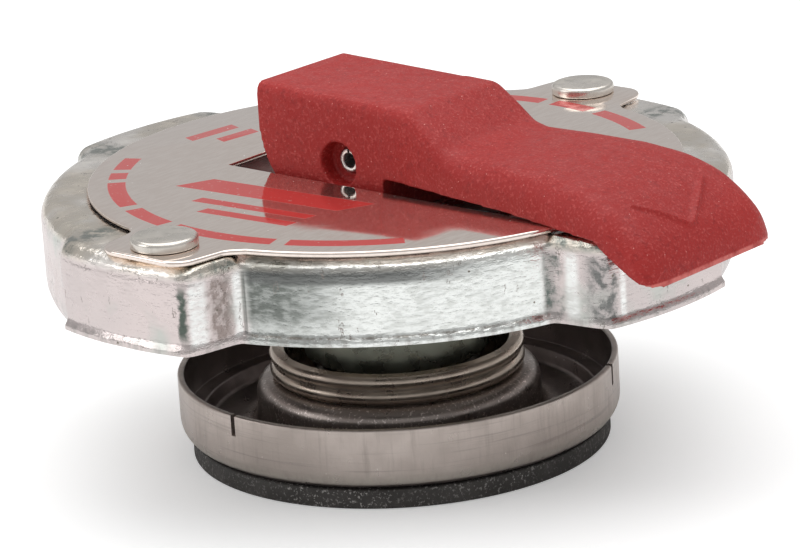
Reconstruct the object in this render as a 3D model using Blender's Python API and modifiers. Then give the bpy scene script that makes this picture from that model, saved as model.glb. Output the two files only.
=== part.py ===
"""Radiator cap with a safety lever: pressed shell, label plate, cam lever, stem and spring-loaded valve.

The cap's axis is Z and the handle points along +X. The valve gasket's sealing face is z = 0.
Lengths in this file are millimetres; MM turns them into metres.
"""

import math

import bmesh
import bpy
from mathutils import Vector

for old in list(bpy.data.objects):
    bpy.data.objects.remove(old)

MM = 0.001

# Clearances
STACK_GAP = 0.10
FIT_GAP = 0.05
SLIDE_GAP = 0.10

# Valve that seals inside the filler neck; its radii grow outward from the spring seat
SEAT_WALL_R = 12.5
DOME_MARGIN = 2.5
GASKET_RING_WIDTH = 7.1
GASKET_LIP_OVERLAP = 0.7
GASKET_HEIGHT = 2.05
GASKET_LIP_THICK = 0.5
DISH_MARGIN = 1.15
DISH_TOP_Z = 8.8
DISH_SHEET = 0.7
DISH_CORNER_R = 2.05
DISH_LEDGE_WIDTH = 2.45
DISH_LEDGE_RISE = 1.5
DOME_TOP_Z = 7.8
SEAT_SHEET = 0.6
SEAT_BEAD_REACH = 0.95
SEAT_BEAD_HEIGHT = 1.6
SEAT_CRIMP_REACH = 0.6
SEAT_CRIMP_HEIGHT = 0.8
RIM_SLIT_ANGLES = (24.5, 144.5, 264.5)
RIM_SLIT_WIDTH = 0.6
RIM_SLIT_DEPTH = 2.2

# Vent valve in the middle
VENT_GAP = 0.3
VENT_THICK = 0.3
VENT_SEAL_WIDTH = 1.2
VENT_SEAL_THICK = 0.1
RETAINER_WIDTH = 7.0
RETAINER_THICK = 0.6

# Stem
STEM_R = 1.5
STEM_FOOT_R = 2.6
STEM_FOOT_THICK = 0.5
STEM_NECK_R = 1.0
LIFTER_R = 3.6
LIFTER_THICK = 0.6
TANG_THICK = 3.0
TANG_R = 2.6
TANG_FOOT_Z = 27.0
TANG_SLOT_MARGIN = 0.8

# Lever and its pin
PIN_Z = 31.7
PIN_R = 1.3
PIN_BORE_R = 0.75
PIN_HALF_LENGTH = 5.5
PIN_SLIT = 0.3
COUNTERBORE_R = 2.35
COUNTERBORE_DEPTH = 2.0
LEVER_HALF_WIDTH = 7.2
HANDLE_HALF_WIDTH = 10.3
HANDLE_FLARE_START_X = 8.0
HANDLE_FLARE_LENGTH = 29.0
HANDLE_TIP_X = 42.9
THUMB_CORNER_R = 2.4
BODY_CROWN_R = 1.1
HANDLE_CROWN_R = 2.8
CROWN_DEPTH = 14.0
CROWN_GROWTH_START_X = 6.0
CROWN_GROWTH_END_X = 20.0
HOLLOW_TAPER_START_X = 37.0
HOLLOW_TAPER = 0.7
HANDLE_WALL = 1.7
HEEL_REACH_DOWN = 5.3
HEEL_REACH_BACK = 10.9
LEVER_TURN = math.radians(90.0)
CAM_RATE = (HEEL_REACH_BACK - HEEL_REACH_DOWN) / LEVER_TURN

# Shell; its radii grow outward from the lever's pocket
SHEET = 0.8
LAND_MARGIN = 3.0
LAND_Z = 29.2
CHANNEL_DEPTH = 1.4
CHANNEL_WIDTH = 6.0
CHANNEL_WALL_SLOPE = 0.3
CHANNEL_RAMP_WIDTH = 1.6
RIM_LAND_WIDTH = 2.3
LOBE_RISE = 1.0
RECESS_DEPTH = 5.7
TAB_DEPTH = 1.0
SKIRT_Z = 20.4
SKIRT_FLARE = 0.4
SKIRT_FLARE_HEIGHT = 1.0
TAB_CURL_R = 4.5
TAB_BOTTOM_Z = 16.7
TAB_REACH = 9.4
SHOULDER_R = 2.0
SLIT_TOP_Z = 24.5
FLAT_START = 104.0
FLAT_END = 161.0
LOBE_X_START = 167.0
LOBE_X_END = 12.5
TAB_START = 18.5
TAB_END = 65.5
LOBE_Y_START = 72.5
LOBE_Y_END = 98.5
SLIT_OVERLAP = 0.4

# Pocket for the lever's heel
POCKET_BACK_X = -15.3
POCKET_FRONT_X = 12.0
POCKET_SIDE_GAP = 0.9
POCKET_FLOOR_Z = 25.9
COLLAR_WALL = 0.9
COLLAR_FLARE = 1.4
COLLAR_FLARE_THICK = 0.6

# Label plate and rivets
PLATE_THICK = 0.6
PLATE_MARGIN = 0.3
PLATE_EAR_HALF_WIDTH = 6.0
PLATE_EAR_ROOT_HALF_WIDTH = 8.0
PLATE_EAR_CORNER_R = 2.6
PLATE_EAR_ROOT_RISE = 1.2
PLATE_SLOT_BACK_OVERHANG = 0.3
PLATE_SLOT_SIDE_OVERHANG = 0.1
RIVET_INSET = 4.0
PLATE_EAR_MARGIN = 4.0
RIVET_HEAD_R = 3.4
RIVET_HEAD_THICK = 1.1
RIVET_SHANK_R = 1.9
RIVET_TAIL_R = 2.6
RIVET_TAIL_THICK = 0.8

# Pieces under the shell
WEAR_PLATE_THICK = 0.3
WEAR_PLATE_MARGIN = 0.4
WEAR_PLATE_CORNER_R = 1.5
DISC_SHEET = 0.4
DISC_OVERLAP = 1.2
DISC_CONE_WIDTH = 2.4
UPPER_GASKET_THICK = 1.7
UPPER_GASKET_WIDTH = 5.4
BELL_R = 9.7
BELL_SHEET = 0.6
BELL_BOTTOM_Z = 10.1
SPRING_WIRE_R = 0.9
SPRING_RADIAL_GAP = 0.3
SPRING_TURNS = 7.0
SPRING_WASHER_THICK = 0.4
SEAL_THICK = 1.6
SEAL_CUP_SHEET = 0.5

# Radii and widths that follow from the sizes above
DOME_R = SEAT_WALL_R + DOME_MARGIN
GASKET_RING_INNER_R = DOME_R
GASKET_OUTER_R = GASKET_RING_INNER_R + GASKET_RING_WIDTH
RETAINER_INNER_R = GASKET_RING_INNER_R - RETAINER_WIDTH
VENT_R = RETAINER_INNER_R - VENT_GAP
GASKET_LIP_INNER_R = VENT_R - GASKET_LIP_OVERLAP
DISH_R = GASKET_OUTER_R + DISH_MARGIN
DISH_LEDGE_R = DISH_R - DISH_LEDGE_WIDTH
POCKET_HALF_WIDTH = LEVER_HALF_WIDTH + POCKET_SIDE_GAP
PLATE_SLOT_BACK_X = POCKET_BACK_X + PLATE_SLOT_BACK_OVERHANG
PLATE_SLOT_HALF_WIDTH = POCKET_HALF_WIDTH - PLATE_SLOT_SIDE_OVERHANG
POCKET_REACH = math.hypot(POCKET_BACK_X - SHEET, POCKET_HALF_WIDTH + SHEET)
LAND_R = POCKET_REACH + LAND_MARGIN
CHANNEL_R = LAND_R + CHANNEL_WIDTH
RIM_LAND_R = CHANNEL_R + CHANNEL_RAMP_WIDTH
RECESS_R = RIM_LAND_R + RIM_LAND_WIDTH
LOBE_MIN_R = RECESS_R + RECESS_DEPTH
LOBE_MAX_R = LOBE_MIN_R + LOBE_RISE
TAB_R = LOBE_MIN_R - TAB_DEPTH
PLATE_R = RECESS_R - PLATE_MARGIN
RIVET_CIRCLE_R = LOBE_MIN_R - RIVET_INSET
PLATE_EAR_REACH = RIVET_CIRCLE_R + PLATE_EAR_MARGIN
DISC_R = CHANNEL_R + DISC_OVERLAP

# Levels that follow from the sizes above
DISH_BOTTOM_Z = GASKET_HEIGHT + STACK_GAP
SEAT_FLOOR_Z = DISH_BOTTOM_Z
LIFTER_Z = SEAT_FLOOR_Z - FIT_GAP - LIFTER_THICK
POCKET_UNDER_Z = POCKET_FLOOR_Z - SHEET
DISC_TOP_Z = POCKET_UNDER_Z - STACK_GAP
BELL_TOP_Z = DISC_TOP_Z - DISC_SHEET - STACK_GAP
COLLAR_R = STEM_R + SLIDE_GAP + COLLAR_WALL
COLLAR_FLARE_TOP_Z = BELL_TOP_Z - BELL_SHEET - STACK_GAP
CHANNEL_Z = LAND_Z - CHANNEL_DEPTH
PLATE_Z = LAND_Z + STACK_GAP
PLATE_TOP_Z = PLATE_Z + PLATE_THICK
DISC_FLAT_R = POCKET_REACH + 3.0 * STACK_GAP
DISC_RIM_INNER_R = DISC_FLAT_R + DISC_CONE_WIDTH


def new_collection(name):
    collection = bpy.data.collections.new(name)
    bpy.context.scene.collection.children.link(collection)
    return collection


PARTS = new_collection("radiator_cap")
CUTTERS = new_collection("cutters")


def material(name, colour, roughness, metallic=0.0):
    made = bpy.data.materials.new(name)
    made.use_nodes = True
    shader = made.node_tree.nodes["Principled BSDF"]
    shader.inputs["Base Color"].default_value = (*colour, 1.0)
    shader.inputs["Roughness"].default_value = roughness
    shader.inputs["Metallic"].default_value = metallic
    return made


ZINC = material("zinc_plated_steel", (0.66, 0.64, 0.62), 0.35, 0.9)
LABEL = material("label_steel", (0.47, 0.42, 0.38), 0.4, 0.5)
RIVET = material("rivet_steel", (0.56, 0.53, 0.50), 0.35, 0.9)
RED = material("red_plastic", (0.48, 0.06, 0.05), 0.5)
PIN_STEEL = material("pin_steel", (0.20, 0.19, 0.19), 0.35, 0.9)
DULL_STEEL = material("dull_plated_steel", (0.32, 0.28, 0.25), 0.45, 0.8)
BRONZE_STEEL = material("bronze_tinted_steel", (0.27, 0.22, 0.16), 0.4, 0.85)
GREEN_STEEL = material("green_tinted_steel", (0.10, 0.12, 0.09), 0.4, 0.8)
BRIGHT_STEEL = material("bright_steel", (0.55, 0.54, 0.52), 0.35, 0.95)
SPRING_STEEL = material("spring_steel", (0.22, 0.21, 0.20), 0.4, 0.9)
BRASS = material("vent_brass", (0.55, 0.40, 0.18), 0.35, 0.9)
RUBBER = material("black_rubber", (0.02, 0.02, 0.02), 0.85)


def add_object(name, data, look, collection=PARTS):
    made = bpy.data.objects.new(name, data)
    collection.objects.link(made)
    if look is not None:
        data.materials.append(look)
    return made


def as_cutter(made):
    made.hide_render = True
    made.display_type = "WIRE"
    return made


def smooth(made):
    """Round surfaces shade smooth; edges sharper than 30 degrees stay crisp."""
    for face in made.data.polygons:
        face.use_smooth = True
    made.data.set_sharp_from_angle(angle=math.radians(30.0))


def turned(name, profile, look, steps=48, closed=True, collection=PARTS):
    """Solid turned about Z from (radius, height) points that run down the outer side."""
    mesh = bpy.data.meshes.new(name)
    points = [(radius * MM, 0.0, height * MM) for radius, height in profile]
    edges = [(i, i + 1) for i in range(len(points) - 1)]
    if closed:
        edges.append((len(points) - 1, 0))
    mesh.from_pydata(points, edges, [])
    made = add_object(name, mesh, look, collection)
    screw = made.modifiers.new("turn", "SCREW")
    screw.axis = "Z"
    screw.angle = math.tau
    screw.steps = steps
    screw.render_steps = steps
    screw.use_merge_vertices = True
    screw.merge_threshold = 0.00001
    screw.use_smooth_shade = True
    return made


def arc(centre, radius, start, end, pieces):
    """Points of an arc in a profile; angles in degrees from the outward direction."""
    points = []
    for i in range(pieces + 1):
        angle = math.radians(start + (end - start) * i / pieces)
        points.append((centre[0] + radius * math.cos(angle), centre[1] + radius * math.sin(angle)))
    return points


def prism(name, outline, low, high, look=None, collection=CUTTERS, along="Z"):
    """Solid between two planes across Z, or across Y, from a closed outline."""
    mesh = bpy.data.meshes.new(name)
    shape = bmesh.new()
    rings = []
    for level in (low, high):
        ring = []
        for first, second in outline:
            place = (first, second, level) if along == "Z" else (first, level, second)
            ring.append(shape.verts.new(Vector(place) * MM))
        rings.append(ring)
    count = len(outline)
    shape.faces.new(rings[0])
    shape.faces.new(rings[1])
    for i in range(count):
        j = (i + 1) % count
        shape.faces.new((rings[0][i], rings[0][j], rings[1][j], rings[1][i]))
    bmesh.ops.recalc_face_normals(shape, faces=shape.faces)
    shape.to_mesh(mesh)
    shape.free()
    made = add_object(name, mesh, look, collection)
    return as_cutter(made) if collection is CUTTERS else made


def box(name, low, high):
    outline = [(low[0], low[1]), (high[0], low[1]), (high[0], high[1]), (low[0], high[1])]
    return prism(name, outline, low[2], high[2])


def combine(made, other, operation):
    change = made.modifiers.new(operation.lower() + "_" + other.name, "BOOLEAN")
    change.operation = operation
    change.object = other
    change.solver = "EXACT"
    return change


def soften(made, width, segments=2, angle=40.0):
    bevel = made.modifiers.new("rounded_edges", "BEVEL")
    bevel.width = width * MM
    bevel.segments = segments
    bevel.limit_method = "ANGLE"
    bevel.angle_limit = math.radians(angle)
    bevel.harden_normals = False
    return bevel


def round_hole(name, radius, x, y, low, high, steps=24):
    outline = [(x + radius * math.cos(math.tau * i / steps), y + radius * math.sin(math.tau * i / steps))
               for i in range(steps)]
    return prism(name, outline, low, high)


# Shell: one pressed sheet whose section changes around the axis

def blend(value, start, end):
    share = min(max((value - start) / (end - start), 0.0), 1.0)
    return share * share * (3.0 - 2.0 * share)


def wall_radius(angle):
    """Outer radius of the skirt; the two halves of the cap are alike, half a turn apart."""
    half = angle % 180.0
    lobe_share = ((half - LOBE_X_START) % 180.0) / (LOBE_X_END + 180.0 - LOBE_X_START)
    if lobe_share <= 1.0:
        return LOBE_MIN_R + LOBE_RISE * lobe_share
    if half < TAB_START:
        return LOBE_MAX_R + (TAB_R - LOBE_MAX_R) * blend(half, LOBE_X_END, TAB_START)
    if half < TAB_END:
        return TAB_R
    if half < LOBE_Y_START:
        return TAB_R + (LOBE_MAX_R - TAB_R) * blend(half, TAB_END, LOBE_Y_START)
    if half < LOBE_Y_END:
        return LOBE_MAX_R - LOBE_RISE * (half - LOBE_Y_START) / (LOBE_Y_END - LOBE_Y_START)
    if half < FLAT_START:
        return LOBE_MIN_R - RECESS_DEPTH * blend(half, LOBE_Y_END, FLAT_START)
    if half < FLAT_END:
        return RECESS_R
    return RECESS_R + RECESS_DEPTH * blend(half, FLAT_END, LOBE_X_START)


def flared_end(radius):
    """Outer side of the skirt's plain lower end, which spreads a little."""
    flared = radius + SKIRT_FLARE
    return [
        (radius, SKIRT_Z + 1.3 * SKIRT_FLARE_HEIGHT),
        (radius + 0.25 * SKIRT_FLARE, SKIRT_Z + SKIRT_FLARE_HEIGHT),
        (flared, SKIRT_Z + 0.5 * SKIRT_FLARE_HEIGHT),
        (flared, SKIRT_Z),
    ]


def curled_end(radius):
    """Outer side of a locking tab, curled inward under the skirt."""
    centre = (radius - TAB_CURL_R, TAB_BOTTOM_Z + TAB_CURL_R)
    return arc(centre, TAB_CURL_R, 0.0, -90.0, 3) + [(radius - TAB_REACH, TAB_BOTTOM_Z)]


def upper_section(radius):
    """Outer side of the sheet from the middle out to the top of the slits."""
    shoulder = arc((radius - SHOULDER_R, LAND_Z - SHOULDER_R), SHOULDER_R, 90.0, 0.0, 3)
    start = [
        (POCKET_FRONT_X / 2.0, LAND_Z),
        (LAND_R, LAND_Z),
        (LAND_R + CHANNEL_WALL_SLOPE, CHANNEL_Z),
        (CHANNEL_R, CHANNEL_Z),
        (RIM_LAND_R, LAND_Z),
    ]
    return start + shoulder + [(radius, SLIT_TOP_Z)]


def inward(points, thick):
    """The sheet's other side, moved in by the sheet's thickness."""
    moved = []
    for i, point in enumerate(points):
        before = points[max(i - 1, 0)]
        after = points[min(i + 1, len(points) - 1)]
        along = Vector((after[0] - before[0], after[1] - before[1])).normalized()
        moved.append((point[0] + along[1] * thick, point[1] - along[0] * thick))
    return moved


def shell_stretches():
    """Start, end, steps and lower end of each stretch around half a turn; a slit has no lower end."""
    return [(LOBE_X_START - 180.0, LOBE_X_END - SLIT_OVERLAP, 3, flared_end),
            (LOBE_X_END - SLIT_OVERLAP, TAB_START + SLIT_OVERLAP, 2, None),
            (TAB_START + SLIT_OVERLAP, TAB_END - SLIT_OVERLAP, 6, curled_end),
            (TAB_END - SLIT_OVERLAP, LOBE_Y_START + SLIT_OVERLAP, 2, None),
            (LOBE_Y_START + SLIT_OVERLAP, LOBE_Y_END, 3, flared_end),
            (LOBE_Y_END, FLAT_START, 3, flared_end),
            (FLAT_START, FLAT_END, 7, flared_end),
            (FLAT_END, LOBE_X_START, 3, flared_end)]


def ring_of(shape, angle, points):
    """Points of a section set at their angle around the axis."""
    turn = math.radians(angle)
    return [shape.verts.new(Vector((r * math.cos(turn), r * math.sin(turn), z)) * MM) for r, z in points]


def strip(shape, near, far, closed):
    count = len(near)
    for j in range(count if closed else count - 1):
        k = (j + 1) % count
        shape.faces.new((near[j], near[k], far[k], far[j]))


def shell_sheet():
    """Pressed sheet whose section changes around the axis, with its slits left open."""
    steps = []
    for turn in (0.0, 180.0):
        for start, end, pieces, lower_end in shell_stretches():
            for i in range(pieces):
                steps.append((turn + start + (end - start) * i / pieces, lower_end))
    shape = bmesh.new()
    uppers = []
    lowers = []
    for i, (angle, lower_end) in enumerate(steps):
        radius = wall_radius(angle)
        upper = upper_section(radius)
        uppers.append(ring_of(shape, angle, list(reversed(inward(upper, SHEET))) + upper))
        hanging = lower_end or steps[i - 1][1]
        if hanging is None:
            lowers.append([])
            continue
        points = hanging(radius)
        inner = inward(upper[-1:] + points, SHEET)[1:]
        lowers.append(ring_of(shape, angle, points + list(reversed(inner))))
    for i, (angle, lower_end) in enumerate(steps):
        k = (i + 1) % len(steps)
        if lower_end is None:
            strip(shape, uppers[i], uppers[k], True)
            continue
        strip(shape, uppers[i] + lowers[i], uppers[k] + lowers[k], True)
        for edge in (i, k):
            if steps[edge - 1][1] is None or steps[edge][1] is None:
                shape.faces.new([uppers[edge][-1]] + lowers[edge] + [uppers[edge][0]])
    bmesh.ops.recalc_face_normals(shape, faces=shape.faces)
    mesh = bpy.data.meshes.new("shell")
    shape.to_mesh(mesh)
    shape.free()
    return add_object("shell", mesh, ZINC)


def rivet_places():
    return (("front", -RIVET_CIRCLE_R), ("rear", RIVET_CIRCLE_R))


def build_shell():
    shell = shell_sheet()
    pocket_outside = box("pocket_outside",
                         (POCKET_BACK_X - SHEET, -POCKET_HALF_WIDTH - SHEET, POCKET_UNDER_Z),
                         (POCKET_FRONT_X + SHEET, POCKET_HALF_WIDTH + SHEET, LAND_Z - 0.5 * SHEET))
    combine(shell, pocket_outside, "UNION")
    pocket_inside = box("pocket_inside",
                        (POCKET_BACK_X, -POCKET_HALF_WIDTH, POCKET_FLOOR_Z),
                        (POCKET_FRONT_X, POCKET_HALF_WIDTH, LAND_Z + SHEET))
    combine(shell, pocket_inside, "DIFFERENCE")
    flare_low = COLLAR_FLARE_TOP_Z - COLLAR_FLARE_THICK
    collar = turned("collar", [
        (COLLAR_R, POCKET_FLOOR_Z - 0.5 * SHEET),
        (COLLAR_R, COLLAR_FLARE_TOP_Z),
        (COLLAR_R + COLLAR_FLARE, COLLAR_FLARE_TOP_Z),
        (COLLAR_R + COLLAR_FLARE, flare_low),
        (0.0, flare_low),
        (0.0, POCKET_FLOOR_Z - 0.5 * SHEET),
    ], None, steps=32, collection=CUTTERS)
    combine(shell, as_cutter(collar), "UNION")
    hole_r = STEM_R + SLIDE_GAP
    stem_hole = round_hole("stem_hole", hole_r, 0.0, 0.0, flare_low - 1.0, POCKET_FLOOR_Z + 1.0, 32)
    combine(shell, stem_hole, "DIFFERENCE")
    for where, y in rivet_places():
        hole = round_hole("shell_rivet_hole_" + where, RIVET_SHANK_R + FIT_GAP, 0.0, y,
                          LAND_Z - 3.0, LAND_Z + 1.0)
        combine(shell, hole, "DIFFERENCE")
    smooth(shell)


# Label plate

def plate_outline():
    """Half circle with an ear at +Y, from the slot's side round to the back, then mirrored."""
    slot_angle = math.degrees(math.asin(PLATE_SLOT_HALF_WIDTH / PLATE_R))
    ear_angle = math.degrees(math.acos(PLATE_EAR_ROOT_HALF_WIDTH / PLATE_R))
    half = arc((0.0, 0.0), PLATE_R, slot_angle, ear_angle, 9)
    side_y = PLATE_EAR_REACH - PLATE_EAR_CORNER_R
    side_x = PLATE_EAR_HALF_WIDTH - PLATE_EAR_CORNER_R
    root_y = half[-1][1] + PLATE_EAR_ROOT_RISE
    half.append((PLATE_EAR_HALF_WIDTH + 0.5, root_y))
    half += arc((side_x, side_y), PLATE_EAR_CORNER_R, 10.0, 90.0, 3)
    half += arc((-side_x, side_y), PLATE_EAR_CORNER_R, 90.0, 170.0, 3)
    half.append((-PLATE_EAR_HALF_WIDTH - 0.5, root_y))
    half += arc((0.0, 0.0), PLATE_R, 180.0 - ear_angle, 180.0, 10)
    mirrored = [(x, -y) for x, y in reversed(half[:-1])]
    back = [(PLATE_SLOT_BACK_X, -PLATE_SLOT_HALF_WIDTH), (PLATE_SLOT_BACK_X, PLATE_SLOT_HALF_WIDTH)]
    return half + mirrored + back


def build_plate():
    plate = prism("label_plate", plate_outline(), PLATE_Z, PLATE_TOP_Z, LABEL, PARTS)
    soften(plate, 0.2, 1, 60.0)
    for where, y in rivet_places():
        hole = round_hole("plate_rivet_hole_" + where, RIVET_SHANK_R + FIT_GAP, 0.0, y,
                          PLATE_Z - 1.0, PLATE_TOP_Z + 1.0)
        combine(plate, hole, "DIFFERENCE")
    smooth(plate)


def build_rivet(where, y):
    head_z = PLATE_TOP_Z + FIT_GAP
    tail_z = LAND_Z - SHEET - FIT_GAP
    profile = [(0.0, head_z + RIVET_HEAD_THICK)]
    profile += arc((RIVET_HEAD_R - 0.4, head_z + RIVET_HEAD_THICK - 0.4), 0.4, 90.0, 0.0, 3)
    profile += [
        (RIVET_HEAD_R, head_z),
        (RIVET_SHANK_R, head_z),
        (RIVET_SHANK_R, tail_z),
        (RIVET_TAIL_R, tail_z),
        (RIVET_TAIL_R - 0.4, tail_z - RIVET_TAIL_THICK),
        (0.0, tail_z - RIVET_TAIL_THICK),
    ]
    rivet = turned("rivet_" + where, profile, RIVET, steps=18, closed=False)
    rivet.location = (0.0, y * MM, 0.0)


# Lever

def cam_points(pieces):
    """Heel whose reach below the pin grows evenly with the lever's turn."""
    points = []
    for i in range(pieces + 1):
        turn = LEVER_TURN * i / pieces
        reach = HEEL_REACH_DOWN + CAM_RATE * turn
        points.append((-reach * math.sin(turn) - CAM_RATE * math.cos(turn),
                       -reach * math.cos(turn) + CAM_RATE * math.sin(turn)))
    return points


LEVER_TOP = [(-12.0, 7.5), (9.9, 6.9), (12.2, 5.3), (14.6, 3.5), (16.6, 3.05), (22.5, 3.05), (28.5, 2.8),
             (33.3, 2.15), (36.4, 1.05), (38.9, -0.45), (40.9, -2.2), (42.0, -4.2), (42.5, -6.0)]
LEVER_UNDER = [(41.2, -5.7), (39.9, -5.1), (37.7, -3.7), (35.5, -2.2), (31.2, -1.9), (23.0, -1.3),
               (15.7, -1.05), (6.4, -0.7), (6.0, -1.2), (6.0, -4.9), (5.6, -HEEL_REACH_DOWN)]
HOLLOW_ROOF = [(7.6, 4.9), (9.4, 4.9), (11.6, 3.3), (14.2, 1.6), (16.4, 1.35), (22.4, 1.35), (28.2, 1.1),
               (32.8, 0.5), (35.6, -0.5), (37.7, -1.7), (39.4, -3.2), (40.2, -4.6)]


def handle_half_width(x):
    share = min(max((x - HANDLE_FLARE_START_X) / HANDLE_FLARE_LENGTH, 0.0), 1.0)
    return LEVER_HALF_WIDTH + (HANDLE_HALF_WIDTH - LEVER_HALF_WIDTH) * share


def lever_side():
    """Side outline of the heel, the back and the underside, open well above the lever's top."""
    above = 12.0
    tip_x, tip_z = LEVER_TOP[-1]
    beyond = tip_x + 2.0
    low = tip_z - 0.2
    outside = [(-HEEL_REACH_BACK, 6.3), (-10.5, above), (beyond, above), (beyond, low), (tip_x, low)]
    return cam_points(7) + outside + LEVER_UNDER


def crown_section(x, top):
    """Cross-section with rounded top edges; the thumb end's corners are rounded in plan too."""
    past = max(x - (HANDLE_TIP_X - THUMB_CORNER_R), 0.0)
    half_width = handle_half_width(x) - THUMB_CORNER_R + math.sqrt(max(THUMB_CORNER_R ** 2 - past ** 2, 0.0))
    share = blend(x, CROWN_GROWTH_START_X, CROWN_GROWTH_END_X)
    crown_r = BODY_CROWN_R + (HANDLE_CROWN_R - BODY_CROWN_R) * share
    side = [(half_width, top - CROWN_DEPTH)] + arc((half_width - crown_r, top - crown_r), crown_r, 0.0, 90.0, 3)
    return [(x, y, z) for y, z in side] + [(x, -y, z) for y, z in reversed(side)]


def hollow_section(x, roof):
    """Cross-section of the space under the handle, inset from its sides by the wall's thickness."""
    half_width = handle_half_width(x) - HANDLE_WALL - HOLLOW_TAPER * max(x - HOLLOW_TAPER_START_X, 0.0)
    floor = min(roof, -1.0) - 6.0
    return [(x, -half_width, floor), (x, half_width, floor), (x, half_width, roof - 0.5),
            (x, half_width - 0.8, roof), (x, 0.8 - half_width, roof), (x, -half_width, roof - 0.5)]


def lofted(name, sections, look=None, collection=CUTTERS):
    """Solid through cross-sections that all have the same number of points."""
    shape = bmesh.new()
    rings = [[shape.verts.new(Vector(point) * MM) for point in section] for section in sections]
    for near, far in zip(rings, rings[1:]):
        strip(shape, near, far, True)
    shape.faces.new(rings[0])
    shape.faces.new(rings[-1])
    bmesh.ops.recalc_face_normals(shape, faces=shape.faces)
    mesh = bpy.data.meshes.new(name)
    shape.to_mesh(mesh)
    shape.free()
    made = add_object(name, mesh, look, collection)
    return as_cutter(made) if collection is CUTTERS else made


def on_pin(made):
    made.location = (0.0, 0.0, PIN_Z * MM)
    return made


def cross_hole(name, radius, low, high, steps=20):
    outline = [(radius * math.cos(math.tau * i / steps), radius * math.sin(math.tau * i / steps))
               for i in range(steps)]
    return on_pin(prism(name, outline, low, high, along="Y"))


def build_lever():
    reach = HANDLE_HALF_WIDTH + 1.0
    lever = on_pin(lofted("lever", [crown_section(x, top) for x, top in LEVER_TOP], RED, PARTS))
    combine(lever, on_pin(prism("lever_side", lever_side(), -reach, reach, along="Y")), "INTERSECT")
    soften(lever, 0.6, 2, 40.0)
    combine(lever, on_pin(lofted("handle_hollow", [hollow_section(x, roof) for x, roof in HOLLOW_ROOF])),
            "DIFFERENCE")
    slot_half = 0.5 * TANG_THICK + 2.0 * SLIDE_GAP
    slot_end = TANG_R + TANG_SLOT_MARGIN
    slot = on_pin(box("tang_slot", (-HEEL_REACH_BACK - 2.0, -slot_half, -HEEL_REACH_DOWN - 1.0),
                      (slot_end, slot_half, slot_end)))
    combine(lever, slot, "DIFFERENCE")
    combine(lever, cross_hole("pin_hole", PIN_R + FIT_GAP, -LEVER_HALF_WIDTH - 1.0, LEVER_HALF_WIDTH + 1.0),
            "DIFFERENCE")
    inner_y = LEVER_HALF_WIDTH - COUNTERBORE_DEPTH
    combine(lever, cross_hole("counterbore_front", COUNTERBORE_R, -LEVER_HALF_WIDTH - 1.0, -inner_y),
            "DIFFERENCE")
    combine(lever, cross_hole("counterbore_rear", COUNTERBORE_R, inner_y, LEVER_HALF_WIDTH + 1.0),
            "DIFFERENCE")
    smooth(lever)

    pin = turned("pivot_pin", [
        (PIN_BORE_R + 0.15, PIN_HALF_LENGTH),
        (PIN_R - 0.15, PIN_HALF_LENGTH),
        (PIN_R, PIN_HALF_LENGTH - 0.2),
        (PIN_R, 0.2 - PIN_HALF_LENGTH),
        (PIN_R - 0.15, -PIN_HALF_LENGTH),
        (PIN_BORE_R + 0.15, -PIN_HALF_LENGTH),
        (PIN_BORE_R, 0.2 - PIN_HALF_LENGTH),
        (PIN_BORE_R, PIN_HALF_LENGTH - 0.2),
    ], PIN_STEEL, steps=20)
    pin.rotation_euler = (math.radians(90.0), 0.0, 0.0)
    on_pin(pin)
    pin_slit = on_pin(box("pin_slit", (-0.5 * PIN_SLIT, -PIN_HALF_LENGTH - 1.0, 0.5 * PIN_BORE_R),
                          (0.5 * PIN_SLIT, PIN_HALF_LENGTH + 1.0, PIN_R + 1.0)))
    combine(pin, pin_slit, "DIFFERENCE")


# Stem

def build_stem():
    shaft_top = TANG_FOOT_Z + 1.0
    stem = turned("stem", [
        (0.0, shaft_top),
        (STEM_R - 0.05, shaft_top),
        (STEM_R - 0.05, TANG_FOOT_Z + 0.5),
        (STEM_R, TANG_FOOT_Z),
        (STEM_R, LIFTER_Z + LIFTER_THICK),
        (LIFTER_R, LIFTER_Z + LIFTER_THICK),
        (LIFTER_R, LIFTER_Z),
        (STEM_NECK_R, LIFTER_Z),
        (STEM_NECK_R, STEM_FOOT_THICK),
        (STEM_FOOT_R, STEM_FOOT_THICK),
        (STEM_FOOT_R, 0.0),
        (0.0, 0.0),
    ], BRIGHT_STEEL, steps=20, closed=False)
    half = 0.5 * TANG_THICK
    outline = [(-TANG_R, TANG_FOOT_Z), (TANG_R, TANG_FOOT_Z)]
    outline += arc((0.0, PIN_Z), TANG_R, 0.0, 180.0, 10)
    tang = prism("tang", outline, -half, half, along="Y")
    combine(stem, tang, "UNION")
    combine(stem, cross_hole("tang_hole", PIN_R + FIT_GAP, -half - 1.0, half + 1.0), "DIFFERENCE")


# Pieces clamped under the shell

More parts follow.
